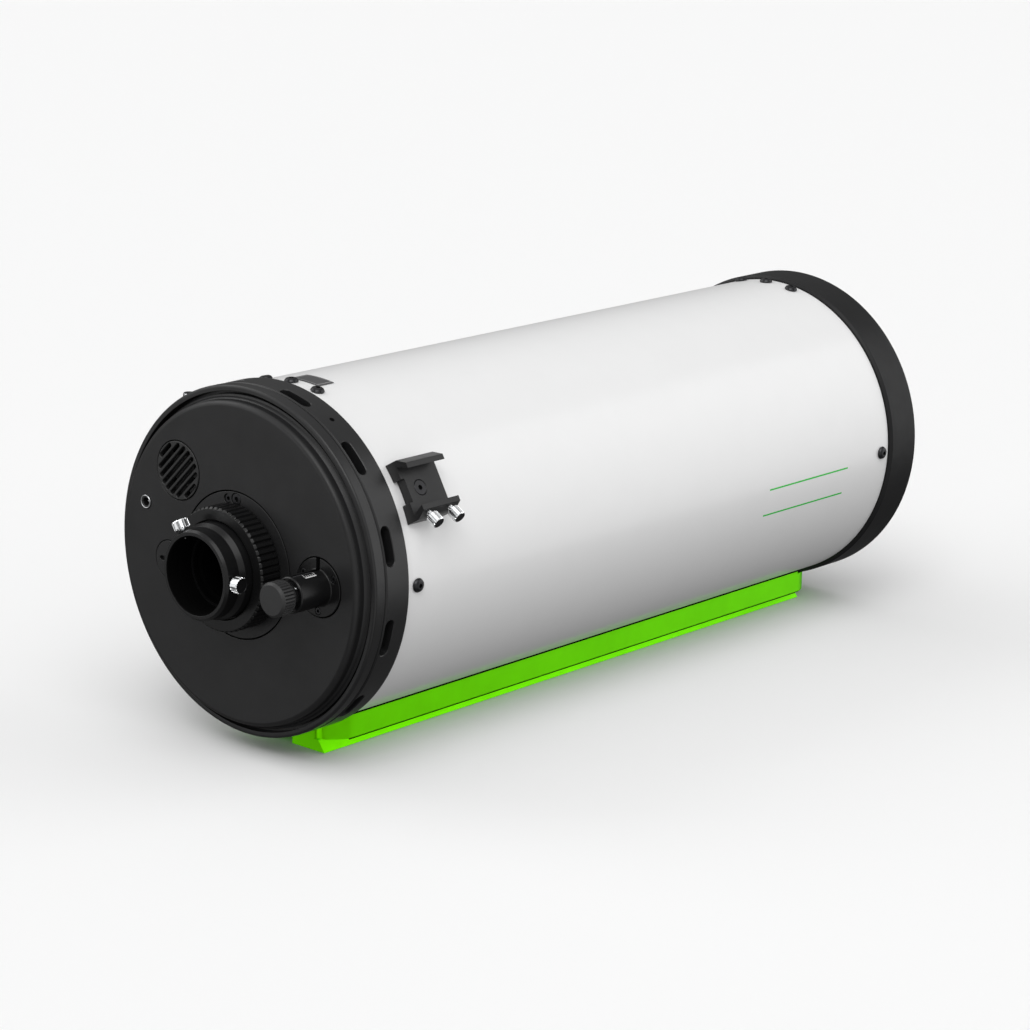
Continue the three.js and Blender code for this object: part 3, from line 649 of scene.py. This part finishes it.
ro = lathe("fan_rotor_body", [(0, -34.2), (10, -34.2, 1.2), (10, -27.4), (1.4, -27.4), (1.4, -25.4), (0, -25.4)], M["black_plastic"], 96, about(*FAN))
blades = []
for k in range(7):
    bm = bmesh.new()
    rows = []
    for i in range(9):
        r = 9.2 + 8.9 * i / 8
        tilt = rad(48 - 16 * i / 8)
        row = []
        for j in range(9):
            s = -4.4 + 8.8 * j / 8
            row.append((r, -30.8 + s * math.sin(tilt) * 0.75, s * math.cos(tilt) - 0.05 * s * s))
        rows.append(row)
    for off in (-0.45, 0.45):
        for row in rows:
            for p in row:
                bm.verts.new((p[0], p[1] + off, p[2]))
    bm.verts.ensure_lookup_table()
    def vid(s, i, j):
        return bm.verts[s * 81 + i * 9 + j]
    for i in range(8):
        for j in range(8):
            bm.faces.new((vid(0, i, j), vid(0, i + 1, j), vid(0, i + 1, j + 1), vid(0, i, j + 1)))
            bm.faces.new((vid(1, i, j), vid(1, i, j + 1), vid(1, i + 1, j + 1), vid(1, i + 1, j)))
    for i in range(8):
        bm.faces.new((vid(0, i, 0), vid(1, i, 0), vid(1, i + 1, 0), vid(0, i + 1, 0)))
        bm.faces.new((vid(0, i, 8), vid(0, i + 1, 8), vid(1, i + 1, 8), vid(1, i, 8)))
        bm.faces.new((vid(0, 0, i), vid(0, 0, i + 1), vid(1, 0, i + 1), vid(1, 0, i)))
        bm.faces.new((vid(0, 8, i), vid(1, 8, i), vid(1, 8, i + 1), vid(0, 8, i + 1)))
    blades.append(new_object("cutter", bm, [], about(*FAN) @ Matrix.Rotation(2 * math.pi * k / 7, 4, "Y")))
cut(ro, *blades, op="UNION")
shade(ro)
place(ro, "fan_rotor_body", "fan_rotor", slot="black_plastic")

# ------------------------------------------------------------------ power inlet and spanner plug
jk = lathe("power_jack_ring", [(3.8, -28, 0.2), (4.5, -28), (4.5, -38.3), (4.55, -38.9, 0.2), (4.3, -39.4, 0.25), (3.8, -39.2, 0.15)], M["aluminium_bare"], 72, about(*JACK))
shade(jk)
place(jk, ROOT, "power_jack", slot="chrome_parts")
jb = lathe("power_jack_socket", [(0, -28.2), (3.75, -28.2), (3.75, -38.8, 0.2), (2.75, -38.8, 0.25), (2.75, -31), (0, -31)], M["jack_black"], 56, about(*JACK))
shade(jb)
place(jb, ROOT, slot="black_plastic")
jp = lathe("power_jack_pin", [(0, -31.1), (0.9, -31.1), (0.9, -36.4, 0.5), (0, -36.7)], M["steel_shaft"], 32, about(*JACK))
shade(jp)
place(jp, ROOT, slot="chrome_parts")

pl = lathe("spanner_plug_disc", [(0, -33.5), (12.95, -33.5), (12.95, -38.5, 0.3), (0, -38.5)], M["black_satin"], 112, about(*PLUG))
cs = []
for s in (-1, 1):
    bm = grown(None, [
        (lambda u, v: (u, -36.4, v), slot_outline(6.2, 3.0, 8)), (lambda u, v: (u, -38.3, v), slot_outline(6.2, 3.0, 8)),
        (lambda u, v: (u, -38.7, v), slot_outline(6.9, 3.7, 8)), (lambda u, v: (u, -40, v), slot_outline(6.9, 3.7, 8))])
    cs.append(new_object("cutter", bm, [], about(PLUG[0] + s * 6.3, PLUG[1])))
cut(pl, *cs)
shade(pl)
place(pl, ROOT, "spanner_plug", slot="black_satin")


# ------------------------------------------------------------------ screws with hex sockets
def hex_cutter(across, y0, y1):
    return prism("cutter", poly_circle(across / math.sqrt(3), 6, 30), y0, y1, [])


def cap_screw(name, head_r, y_top, head_len, shank_r, y_tip, hexaf, mat, seg=64):
    """Socket screw along Y with its head facing -Y."""
    s = lathe(name, [(0, y_top), (head_r, y_top, 0.35), (head_r, y_top + head_len, 0.1), (shank_r, y_top + head_len), (shank_r, y_tip, 0.3), (0, y_tip)], mat, seg)
    cut(s, lathe("cutter", [(0, y_top + 0.25), (hexaf * 0.5, y_top + 0.25), (hexaf * 0.62, y_top - 0.2), (0, y_top - 0.2)], [], 48), hex_cutter(hexaf, y_top - 1, y_top + head_len * 0.8))
    return s


plate = lathe("collimation_plate_body", [
    (25.7, -50.2, 0.3), (30.5, -50.2, 0.4), (30.5, -38.4, 0.6), (48.2, -38.4, 0.3), (48.2, -33), (25.7, -33)], M["black_satin"], 224)
cs = []
for k in range(3):
    a, g = rad(90 + 120 * k), rad(100.5 + 120 * k)
    px, pz, gx, gz = 43.5 * math.cos(a), 43.5 * math.sin(a), 43.5 * math.cos(g), 43.5 * math.sin(g)
    cs += [flared_cutter(4.3, -38.4, 2.7, px, pz, 0.2, 56), rod_cutter(2.4, -45, -20, px, pz, 32), flared_cutter(3.1, -38.4, 8, gx, gz, 0.2, 48)]
    s = cap_screw(f"collimation_pull_screw_{k+1}_head", 3.9, -38.1, 2.1, 2.0, -21.5, 3.2, M["screw_black"])
    s.data.transform(about(px, pz))
    shade(s)
    place(s, ROOT, f"collimation_pull_screw_{k+1}", slot="screw_black")
    s = lathe(f"collimation_push_screw_{k+1}_grub", [(0, -37.6), (2.85, -37.6, 0.4), (2.85, -25.2, 0.5), (0, -25.2)], M["screw_black"], 48)
    cut(s, hex_cutter(2.6, -40, -34.5))
    s.data.transform(about(gx, gz))
    shade(s)
    place(s, ROOT, f"collimation_push_screw_{k+1}", slot="screw_black")
cut(plate, *cs)
shade(plate, round_y=True)
place(plate, ROOT, "collimation_plate", slot="black_satin")


# ------------------------------------------------------------------ locking ring and visual back
def fluted(n, R, depth, y0, y1, power=0.8, bite=0.15, phase=0.0):
    def clamp(t, r, y):
        if not (y0 <= y <= y1):
            return r
        g = (math.cos(n * t + phase) - bite) / (1 - bite)
        g = max(0.0, g) ** power
        return min(r, R - depth * g)
    return clamp


lr = lathe("locking_ring_grip", [
    (31, -39, 0.3), (40.4, -39, 0.4), (41, -39.8, 0.4), (41, -54.0, 0.2), (39.7, -55.2, 0.2), (33.0, -55.2, 0.4), (32.1, -54.4), (32.1, -53.2), (36, -53.2), (36, -49.6), (31, -49.6)],
    M["black_machined"], 720, None, fluted(60, 41, 1.15, -54.6, -30, 0.7, 0.35), sharp=40)
shade(lr)
place(lr, "locking_ring_body", "locking_ring", slot="black_satin")

vb = lathe("visual_back_body", [
    (23, -50.5, 0.3), (35.5, -50.5, 0.3), (35.5, -52.9, 0.3), (31.7, -52.9), (31.7, -60.2, 0.9), (29.6, -63.9, 0.9),
    (29.6, -73.0, 0.5), (28.3, -75.0, 0.35), (26.1, -75.0, 0.3), (25.4, -74.3, 0.2), (25.4, -66.2), (25.9, -66.0), (25.9, -63.6), (25.4, -63.4), (25.4, -54), (23, -54, 0.4)],
    [M["black_machined"], M["black_matt"]], 224)
cut(vb, *[radial_cutter(1.9, a, -69.4, 20, 40) for a in (0, 122)])
for p in vb.data.polygons:
    c = p.center
    if math.hypot(c.x, c.z) < 26.0 and p.normal.x * c.x + p.normal.z * c.z < -1e-3:
        p.material_index = 1
shade(vb, round_y=True)
place(vb, "visual_back_body", "visual_back", slot="black_satin")


def thumb(name, y_tip, y_head, y_end, shank_r, head_r, n, depth, seg):
    """Knurled thumbscrew along Y, head outward, with threads on its shank and a dark sunk end."""
    prof = [(0, y_tip), (shank_r * 0.7, y_tip)]
    pitch = 0.7
    y = y_tip + 0.4
    while y < y_head - 0.6:
        prof += [(shank_r, y), (shank_r * 0.86, y + pitch / 2)]
        y += pitch
    prof += [(shank_r, y_head - 0.3), (head_r * 0.62, y_head - 0.1, 0.1), (head_r * 0.62, y_head + 0.25), (head_r * 0.93, y_head + 0.3, 0.2), (head_r, y_head + 0.9, 0.3),
             (head_r, y_end - 0.8, 0.3), (head_r * 0.9, y_end, 0.2), (head_r * 0.80, y_end, 0.15), (head_r * 0.78, y_end - 0.25), (0, y_end - 0.25)]
    o = lathe(name, prof, [M["chrome_parts"], M["screw_black"]], seg, None, fluted(n, head_r, depth, y_head + 0.26, y_end + 1, 0.75, 0.0), sharp=35)
    for p in o.data.polygons:
        if p.center.y > y_end - 0.3:
            p.material_index = 1
    return shade(o)


t = thumb("proto", 24.9, 31.0, 37.4, 1.6, 5.35, 18, 0.65, 216)
for i, a in enumerate((0, 122)):
    place(copy_of(t, f"visual_back_thumbscrew_{i+1}_chrome", radial(a, -69.4)), f"visual_back_clamp_{i+1}", f"visual_back_thumbscrew_{i+1}", slot="chrome_parts")
discard(t)

# ------------------------------------------------------------------ baffle, mirror and its carrier, focus thread
bt = lathe("baffle_tube_body", [(20, -49.8, 0.3), (25.4, -49.8, 0.3), (25.4, -44, 0.3), (22, -44), (22, 230, 0.3), (20, 230, 0.3)], M["black_matt"], 112)
shade(bt)
place(bt, ROOT, "baffle_tube", slot="black_matt")

mir = [(25.6, 14, 0.5), (95, 14, 1.0)] + [(95, 40, 0.6)] + [(r, 35.3 + r * r / (2 * 960)) for r in (90, 80, 70, 60, 50, 40, 32)] + [(25.6, 35.6)]
pm = lathe("primary_mirror_glass", mir, [M["mirror_back"], M["mirror_coating"]], 192)
for p in pm.data.polygons:
    if p.normal.y > 0.9 and p.center.y > 30:
        p.material_index = 1
shade(pm)
place(pm, "mirror_cell", "primary_mirror", slot="mirror_coating")

mc = lathe("mirror_carrier_body", [(22.4, 7.5, 0.3), (82, 7.5, 0.6), (82, 13.6, 0.6), (25.2, 13.6), (25.2, 52, 0.4), (22.4, 52, 0.4)], M["aluminium_bare"], 144)
cut(mc, rod_cutter(3.6, 0, 20, *FOC, 40))
shade(mc)
place(mc, "mirror_cell", "mirror_carrier", slot="aluminium_bare")

nut = lathe("focus_nut_body", [(3.35, -6, 0.3), (7, -6, 0.5), (7, 7.2, 0.5), (3.35, 7.2, 0.3)], M["brass_nut"], 72, about(*FOC))
shade(nut)
place(nut, "mirror_cell", "focus_nut", slot="brass_nut")

prof = [(0, -73.5), (3, -73.5, 0.3), (3, -24)]
y = -23.5
while y < 6.0:
    prof += [(3.0, y), (2.65, y + 0.35), (3.0, y + 0.7)]
    y += 0.75
prof += [(2.6, 6.9), (0, 6.9)]
sh = lathe("focus_shaft_rod", prof, M["steel_shaft"], 48, about(*FOC))
shade(sh)
place(sh, "focus_drive", "focus_shaft", slot="steel_shaft")

# ------------------------------------------------------------------ focuser housing, window and knob
fh = lathe("focuser_housing_body", [
    (3.5, -64.7, 0.3), (7.9, -64.7, 0.2), (7.9, -63.2), (10.4, -63.2), (10.4, -64.7, 0.2), (11.1, -64.7, 0.3), (11.8, -64.0, 0.3), (11.8, -39.0, 0.9), (19.05, -39.0, 0.4),
    (19.05, -34.6), (11.8, -34.6), (11.8, -25), (3.5, -25)], M["black_machined"], 144)
cs = [block("cutter", -1.7, 1.7, -39.4, -35.1, 10.5, 25, []), prism("cutter", [(-1.6, 9.7), (1.6, 9.7), (1.6, 15), (-1.6, 15)], -62.8, -38.4, [])]
for k in range(3):
    a = rad(30 + 120 * k)
    sx, sz = 15.4 * math.cos(a), 15.4 * math.sin(a)
    cs += [flared_cutter(2.6, -39.0, 1.9, sx, sz, 0.15, 40), rod_cutter(1.6, -45, -20, sx, sz, 24)]
    s = cap_screw(f"focuser_flange_screw_{k+1}_head", 2.35, -38.85, 1.55, 1.2, -33, 1.9, M["screw_black"], 40)
    s.data.transform(about(FOC[0] + sx, FOC[1] + sz))
    shade(s)
    place(s, ROOT, f"focuser_flange_screw_{k+1}", slot="screw_black")
cut(fh, *cs)
fh.data.transform(about(*FOC))
shade(fh, round_y=True, centre=FOC)
place(fh, ROOT, "focuser_housing", slot="black_satin")

fw = block("focuser_scale_window_glass", FOC[0] - 1.3, FOC[0] + 1.3, -62, -44, FOC[1] + 9.9, FOC[1] + 11.1, M["window_grey"])
bevel(fw, 0.25, 3, 40)
shade(fw)
place(fw, ROOT, "focuser_scale_window", slot="window_grey")
# printed index strip beside the slot: a long edge line with short even bars, and no figures


def curved_pad(bm, a0, a1, y0, y1, r0, r1, n=6):
    rows = []
    for r in (r0, r1):
        for y in (y0, y1):
            rows.append([bm.verts.new((FOC[0] + r * math.cos(rad(a0 + (a1 - a0) * i / n)), y, FOC[1] + r * math.sin(rad(a0 + (a1 - a0) * i / n)))) for i in range(n + 1)])
    a, b, c, d_ = rows
    for i in range(n):
        bm.faces.new((a[i], b[i], b[i + 1], a[i + 1]))
        bm.faces.new((c[i], c[i + 1], d_[i + 1], d_[i]))
        bm.faces.new((a[i], a[i + 1], c[i + 1], c[i]))
        bm.faces.new((b[i], d_[i], d_[i + 1], b[i + 1]))
    bm.faces.new((a[0], c[0], d_[0], b[0]))
    bm.faces.new((a[n], b[n], d_[n], c[n]))


bm = bmesh.new()
curved_pad(bm, 61, 65.5, -55.5, -46, 11.72, 11.86)
for i in range(6):
    curved_pad(bm, 67.5, 79 if i % 5 == 0 else 73, -55.5 + 1.8 * i, -55.1 + 1.8 * i, 11.72, 11.86)
tick = new_object("focuser_scale_ticks", bm, M["scale_white"])
shade(tick)
place(tick, ROOT, slot="window_grey")
pin = lathe("focuser_stop_pin", [(0, -63.0), (0.75, -63.0), (0.75, -66.3, 0.35), (0, -66.3)], M["chrome_parts"], 32, about(FOC[0] + 9.2 * math.cos(rad(41)), FOC[1] + 9.2 * math.sin(rad(41))))
shade(pin)
place(pin, ROOT, slot="chrome_parts")

kb = lathe("focus_knob_grip", [
    (0, -80.4), (9.7, -80.4, 0.35), (11.3, -78.9, 0.35), (11.3, -78.42), (11.3, -78.38), (11.3, -70.6, 0.3), (10.9, -69.2, 0.3), (7.6, -69.2), (7.6, -65.1, 0.2), (3.3, -65.1), (3.3, -74), (0, -74)],
    M["knob_black"], 384, None, fluted(32, 11.3, 0.8, -78.4, -69.0, 0.6, 0.3), sharp=40)
kb.data.transform(about(*FOC))
shade(kb)
place(kb, "focus_drive", "focus_knob", slot="knob_black")

# ------------------------------------------------------------------ finder shoes
foot = 113.3
section = []
for i in range(41):
    tt = -20.1 + 40.2 * i / 40
    section.append((math.sqrt(foot ** 2 - tt ** 2), tt))
section += [(122, 20.1), (129.6, 15.9), (129.6, 12.3), (120.2, 16), (120.2, -16), (129.6, -12.3), (129.6, -15.9), (122, -20.1)]
shoe = prism("shoe_proto", section, 8.1, 42.2, M["black_satin"])
FIX = Matrix(((0, 1, 0, 0), (1, 0, 0, 22.2), (0, 0, -1, 0), (0, 0, 0, 1)))
d = Vector((0.484, 0, -0.875)).normalized()


def clamp_frame(y):
    z = Vector((0, 1, 0)).cross(d)
    return Matrix(((0, d.x, z.x, 131), (1, d.y, z.y, y), (0, d.z, z.z, -26.8), (0, 0, 0, 1)))


cut(shoe, prism("cutter", [(100, -7.9), (140, -7.9), (140, 7.9), (100, 7.9)], 0, 11.2, []))
bevel(shoe, 0.45, 3, 35)
cs = [lathe("cutter", [(0, 105), (2.9, 105), (2.9, 117.4), (5.45, 120.1), (5.75, 120.5), (0, 120.5)], [], 56, FIX)]
for y in (15.2, 34.8):
    cs.append(lathe("cutter", [(0, -17), (2.0, -17), (2.0, -4), (0, -4)], [], 40, clamp_frame(y)))
cut(shoe, *cs)
shade(shoe)
th = thumb("thumb_proto", -14.6, -8.0, 0.0, 1.75, 4.2, 16, 0.55, 192)
fx = lathe("fix_proto", [(0, 108), (2.4, 108, 0.3), (2.4, 117.4), (5.05, 119.7, 0.2), (4.7, 120.0), (0, 120.0)], M["screw_black"], 64)
cut(fx, hex_cutter(3.2, 117.6, 122))
shade(fx)
for side, ang in SHOES.items():
    rot = Matrix.Rotation(rad(-ang), 4, "Y")
    o = copy_of(shoe, f"{side}_finder_shoe_body", rot)
    place(o, ROOT, f"{side}_finder_shoe", slot="black_satin")
    o = copy_of(fx, f"{side}_shoe_screw_head", rot @ FIX)
    place(o, ROOT, f"{side}_shoe_screw", slot="screw_black")
    for i, y in enumerate((15.2, 34.8)):
        o = copy_of(th, f"{side}_shoe_thumbscrew_{i+1}_chrome", rot @ clamp_frame(y))
        place(o, f"{side}_shoe_clamp_{i+1}", f"{side}_shoe_thumbscrew_{i+1}", slot="chrome_parts")
discard(shoe); discard(th); discard(fx)

# ------------------------------------------------------------------ button-head screws
bh = lathe("button_proto", [(0, 108.2), (2, 108.2, 0.3), (2, 113.25), (4.6, 113.25, 0.1), (4.75, 113.8, 0.4), (3.9, 115.2, 1.2), (2.6, 115.9, 1.0), (0, 115.95)], M["screw_black"], 72)
cut(bh, hex_cutter(2.9, 113.9, 118))
shade(bh)
for i, a in enumerate(SCREW_ANGLES):
    for end, y in (("rear", 11), ("front", 518)):
        o = copy_of(bh, f"{end}_tube_screw_{i+1}_head", radial(a, y) @ Matrix.Rotation(0.4 * i + (0.3 if y > 100 else 0), 4, "Y"))
        place(o, ROOT, f"{end}_tube_screw_{i+1}", slot="screw_black")
discard(bh)

gs = lathe("vent_ring_grub", [(0, 109.4), (1.55, 109.4, 0.2), (1.55, 114.7, 0.2), (0, 114.7)], M["screw_black"], 32)
cut(gs, hex_cutter(1.5, 112.8, 118))
shade(gs)
gs.data.transform(radial(60.6, -9.7))
place(gs, ROOT, "vent_ring_grub_screw", slot="screw_black")

# ------------------------------------------------------------------ label plate
bm = bmesh.new()
n = 24
rows = []
for rho in (113.3, 113.72):
    for y in (17.5, 32.0):
        rows.append([bm.verts.new((rho * math.cos(rad(81 + 12.5 * i / n)), y, rho * math.sin(rad(81 + 12.5 * i / n)))) for i in range(n + 1)])
a, b2, c2, d2 = rows
for i in range(n):
    bm.faces.new((a[i], b2[i], b2[i + 1], a[i + 1]))
    bm.faces.new((c2[i], c2[i + 1], d2[i + 1], d2[i]))
    bm.faces.new((a[i], a[i + 1], c2[i + 1], c2[i]))
    bm.faces.new((b2[i], d2[i], d2[i + 1], b2[i + 1]))
bm.faces.new((a[0], c2[0], d2[0], b2[0]))
bm.faces.new((a[n], b2[n], d2[n], c2[n]))
lb = new_object("tube_label_plate", bm, M["label_grey"])
bevel(lb, 0.12, 2, 40)
shade(lb)
place(lb, ROOT, "tube_label", slot="label_grey")

# ------------------------------------------------------------------ dovetail bar
Z0 = -128.8
bar = prism("dovetail_bar_body", [(-38, Z0), (38, Z0), (32.3, Z0 + 7.9), (-32.3, Z0 + 7.9)], 4.8, 524.2, M["green_anodised"])


def plan(w, y0, y1, r, k=14):
    pts = []
    for cx, cy, s in ((w - r, y0 + r, -90), (w - r, y1 - r, 0), (-w + r, y1 - r, 90), (-w + r, y0 + r, 180)):
        for i in range(k + 1):
            a_ = rad(s + 90 * i / k)
            pts.append((cx + r * math.cos(a_), cy + r * math.sin(a_)))
    return pts


TAPER = [(27.5, 4.8), (29.2, 5.1), (30.6, 5.8), (31.7, 6.9), (32.5, 8.4), (33.1, 10.6), (33.5, 13.2), (34.2, 18.7), (35.15, 26), (35.65, 30.4), (35.88, 33.4), (36, 37.5)]


def block_plan():
    """Rear end runs in on a shallow taper to small round corners; front end has full round corners."""
    far = [p for p in plan(36, 18.5, 545, 19) if p[1] > 100]
    return TAPER + far + [(-x, y) for x, y in reversed(TAPER)]


bm = grown(None, [(lambda u, v: (u, v, Z0 + 2.8), block_plan()), (lambda u, v: (u, v, Z0 + 27), block_plan())])
blk = new_object("cutter", bm, [])
bevel(blk, 1.2, 3, 50)
cut(bar, blk, op="UNION")
cut(bar, lathe("cutter", [(0, -60), (115.1, -60), (115.1, 526.2), (116.6, 526.2), (116.6, 620), (0, 620)], [], 288),
    block("cutter", -8.5, 8.5, -10, 110, Z0 - 5, Z0 + 7.5, []),
    block("cutter", -8.5, 8.5, 419, 560, Z0 - 5, Z0 + 7.5, []),
    *[prism("cutter", poly_circle(3.4, 40), -30, 30, [], Matrix.Translation((0, y, Z0 + 10)) @ Matrix.Rotation(rad(90), 4, "X")) for y in (26, 518)])
bar["sharp"] = 28.0
bevel(bar, 0.35, 2, 32)
# relief groove cut where the block stands on the dovetail flange; its inner faces are then painted flat black as
# painted shade in the groove
cut(bar, block("cutter", 35.45, 39, 30, 532, Z0 + 2.8, Z0 + 3.45, []), block("cutter", -39, -35.45, 30, 532, Z0 + 2.8, Z0 + 3.45, []))
bar.data.materials.append(M["black_matt"])
# painted shade: the groove's faces take black_matt so the groove reads as a dark line
for p in bar.data.polygons:
    if 35.3 < abs(p.center.x) < 36.2 and Z0 + 2.7 < p.center.z < Z0 + 3.6:
        p.material_index = len(bar.data.materials) - 1
shade(bar)
place(bar, ROOT, "dovetail_bar", slot="green_anodised")

# thin black strip between the block and the tube: painted shade filling the shadow gap where the bar stands off the
# tube
gap_shade_plan = [(0.996 * x, 275 + 0.998 * (y - 275)) for x, y in block_plan()]
gap_shade_strip = new_object("dovetail_gap_shade_strip", grown(None, [(lambda u, v: (u, v, Z0 + 8), gap_shade_plan), (lambda u, v: (u, v, Z0 + 27), gap_shade_plan)]), M["black_matt"])
cut(gap_shade_strip, lathe("cutter", [(113.65, 2), (115.05, 2), (115.05, 525.9), (113.65, 525.9)], [], 288), op="INTERSECT")
shade(gap_shade_strip)
place(gap_shade_strip, ROOT, slot="black_matt")

bo = lathe("bolt_proto", [(0, 108.2), (3, 108.2, 0.4), (3, 121.7), (5, 121.7, 0.1), (5, 127.3, 0.5), (0, 127.3)], M["screw_black"], 64)
cut(bo, hex_cutter(4.0, 124, 130))
shade(bo)
for nm, y in (("rear", 26), ("front", 518)):
    place(copy_of(bo, f"dovetail_bolt_{nm}_head", radial(270, y)), ROOT, f"dovetail_bolt_{nm}", slot="screw_black")
discard(bo)

# ------------------------------------------------------------------ stage, light, camera
WORLD = (0.12, 0.66, (-0.25, -0.18, 0.95))
SUNS = [
    ("key", 1.04, 50, (0.40, -0.36, 0.84)),
    ("rim", 0.34, 24, (0.32, -0.61, 0.70)),
    ("side", 1.06, 62, (0.61, 0.73, 0.24)),
    ("left", 0.50, 34, (-0.76, -0.20, 0.62)),
    ("front", 0.66, 60, (-0.62, -0.77, 0.22)),
    ("fill", 0.80, 80, (0.82, -0.56, 0.02)),
]


def stage_material():
    m = bpy.data.materials.new("stage_white")
    m.use_nodes = True
    b = m.node_tree.nodes["Principled BSDF"]
    b.inputs["Base Color"].default_value = (0.90, 0.90, 0.90, 1)
    b.inputs["Roughness"].default_value = 0.9
    b.inputs["Specular IOR Level"].default_value = 0.1
    return m


me = bpy.data.meshes.new("floor")
s = 14.0
me.from_pydata([(-s, -s, -0.0004), (s, -s, -0.0004), (s, s, -0.0004), (-s, s, -0.0004)], [], [(0, 1, 2, 3)])
me.materials.append(stage_material())
floor = bpy.data.objects.new("floor", me)
COLL.objects.link(floor)
# the floor takes the object's shadow but sends no light back up, so the underside stays dark
floor.visible_diffuse = False
floor.visible_glossy = False
floor.visible_shadow = False

scene = bpy.context.scene
world = bpy.data.worlds.new("studio")
scene.world = world
world.use_nodes = True
wn = world.node_tree
bg = wn.nodes["Background"]
bg.inputs["Color"].default_value = (1, 1, 1, 1)
# soft overhead light, brightest a little behind and to the left
wt = wn.nodes.new("ShaderNodeTexCoord")
wd = wn.nodes.new("ShaderNodeVectorMath")
wd.operation = "DOT_PRODUCT"
wd.inputs[1].default_value = Vector(WORLD[2]).normalized()
wr = wn.nodes.new("ShaderNodeMapRange")
wn.links.new(wt.outputs["Generated"], wd.inputs[0])
wn.links.new(wd.outputs["Value"], wr.inputs["Value"])
wr.inputs["From Min"].default_value = 0.2
wr.inputs["From Max"].default_value = 1.0
wr.inputs["To Min"].default_value = WORLD[0]
wr.inputs["To Max"].default_value = WORLD[1]
wn.links.new(wr.outputs["Result"], bg.inputs["Strength"])

for sun_name, power, width, towards in SUNS:
    sun = bpy.data.lights.new(sun_name, "SUN")
    sun.energy = power
    sun.angle = rad(width)
    so = bpy.data.objects.new(sun_name, sun)
    COLL.objects.link(so)
    so.rotation_euler = (-Vector(towards)).to_track_quat("-Z", "Y").to_euler()

cam = bpy.data.cameras.new("camera")
cam.sensor_width = 36
cam.lens = 3255.0 / 1030.0 * 36
cam.clip_start = 0.05
cam.clip_end = 100
co = bpy.data.objects.new("camera", cam)
COLL.objects.link(co)
right = Vector((0.7517, 0.6591, 0.0215)).normalized()
down = Vector((0.1845, -0.1789, -0.9665))
down = (down - right * down.dot(right)).normalized()
fwd = right.cross(down).normalized()
if fwd.dot(Vector((-0.6331, 0.7304, -0.2561))) < 0:
    fwd = -fwd
rot = Matrix((
    (right.x, -down.x, -fwd.x),
    (right.y, -down.y, -fwd.y),
    (right.z, -down.z, -fwd.z)))
co.matrix_world = Matrix.Translation((1.4515, -1.7053, 0.6988)) @ rot.to_4x4()
scene.camera = co
scene.view_settings.view_transform = "Standard"
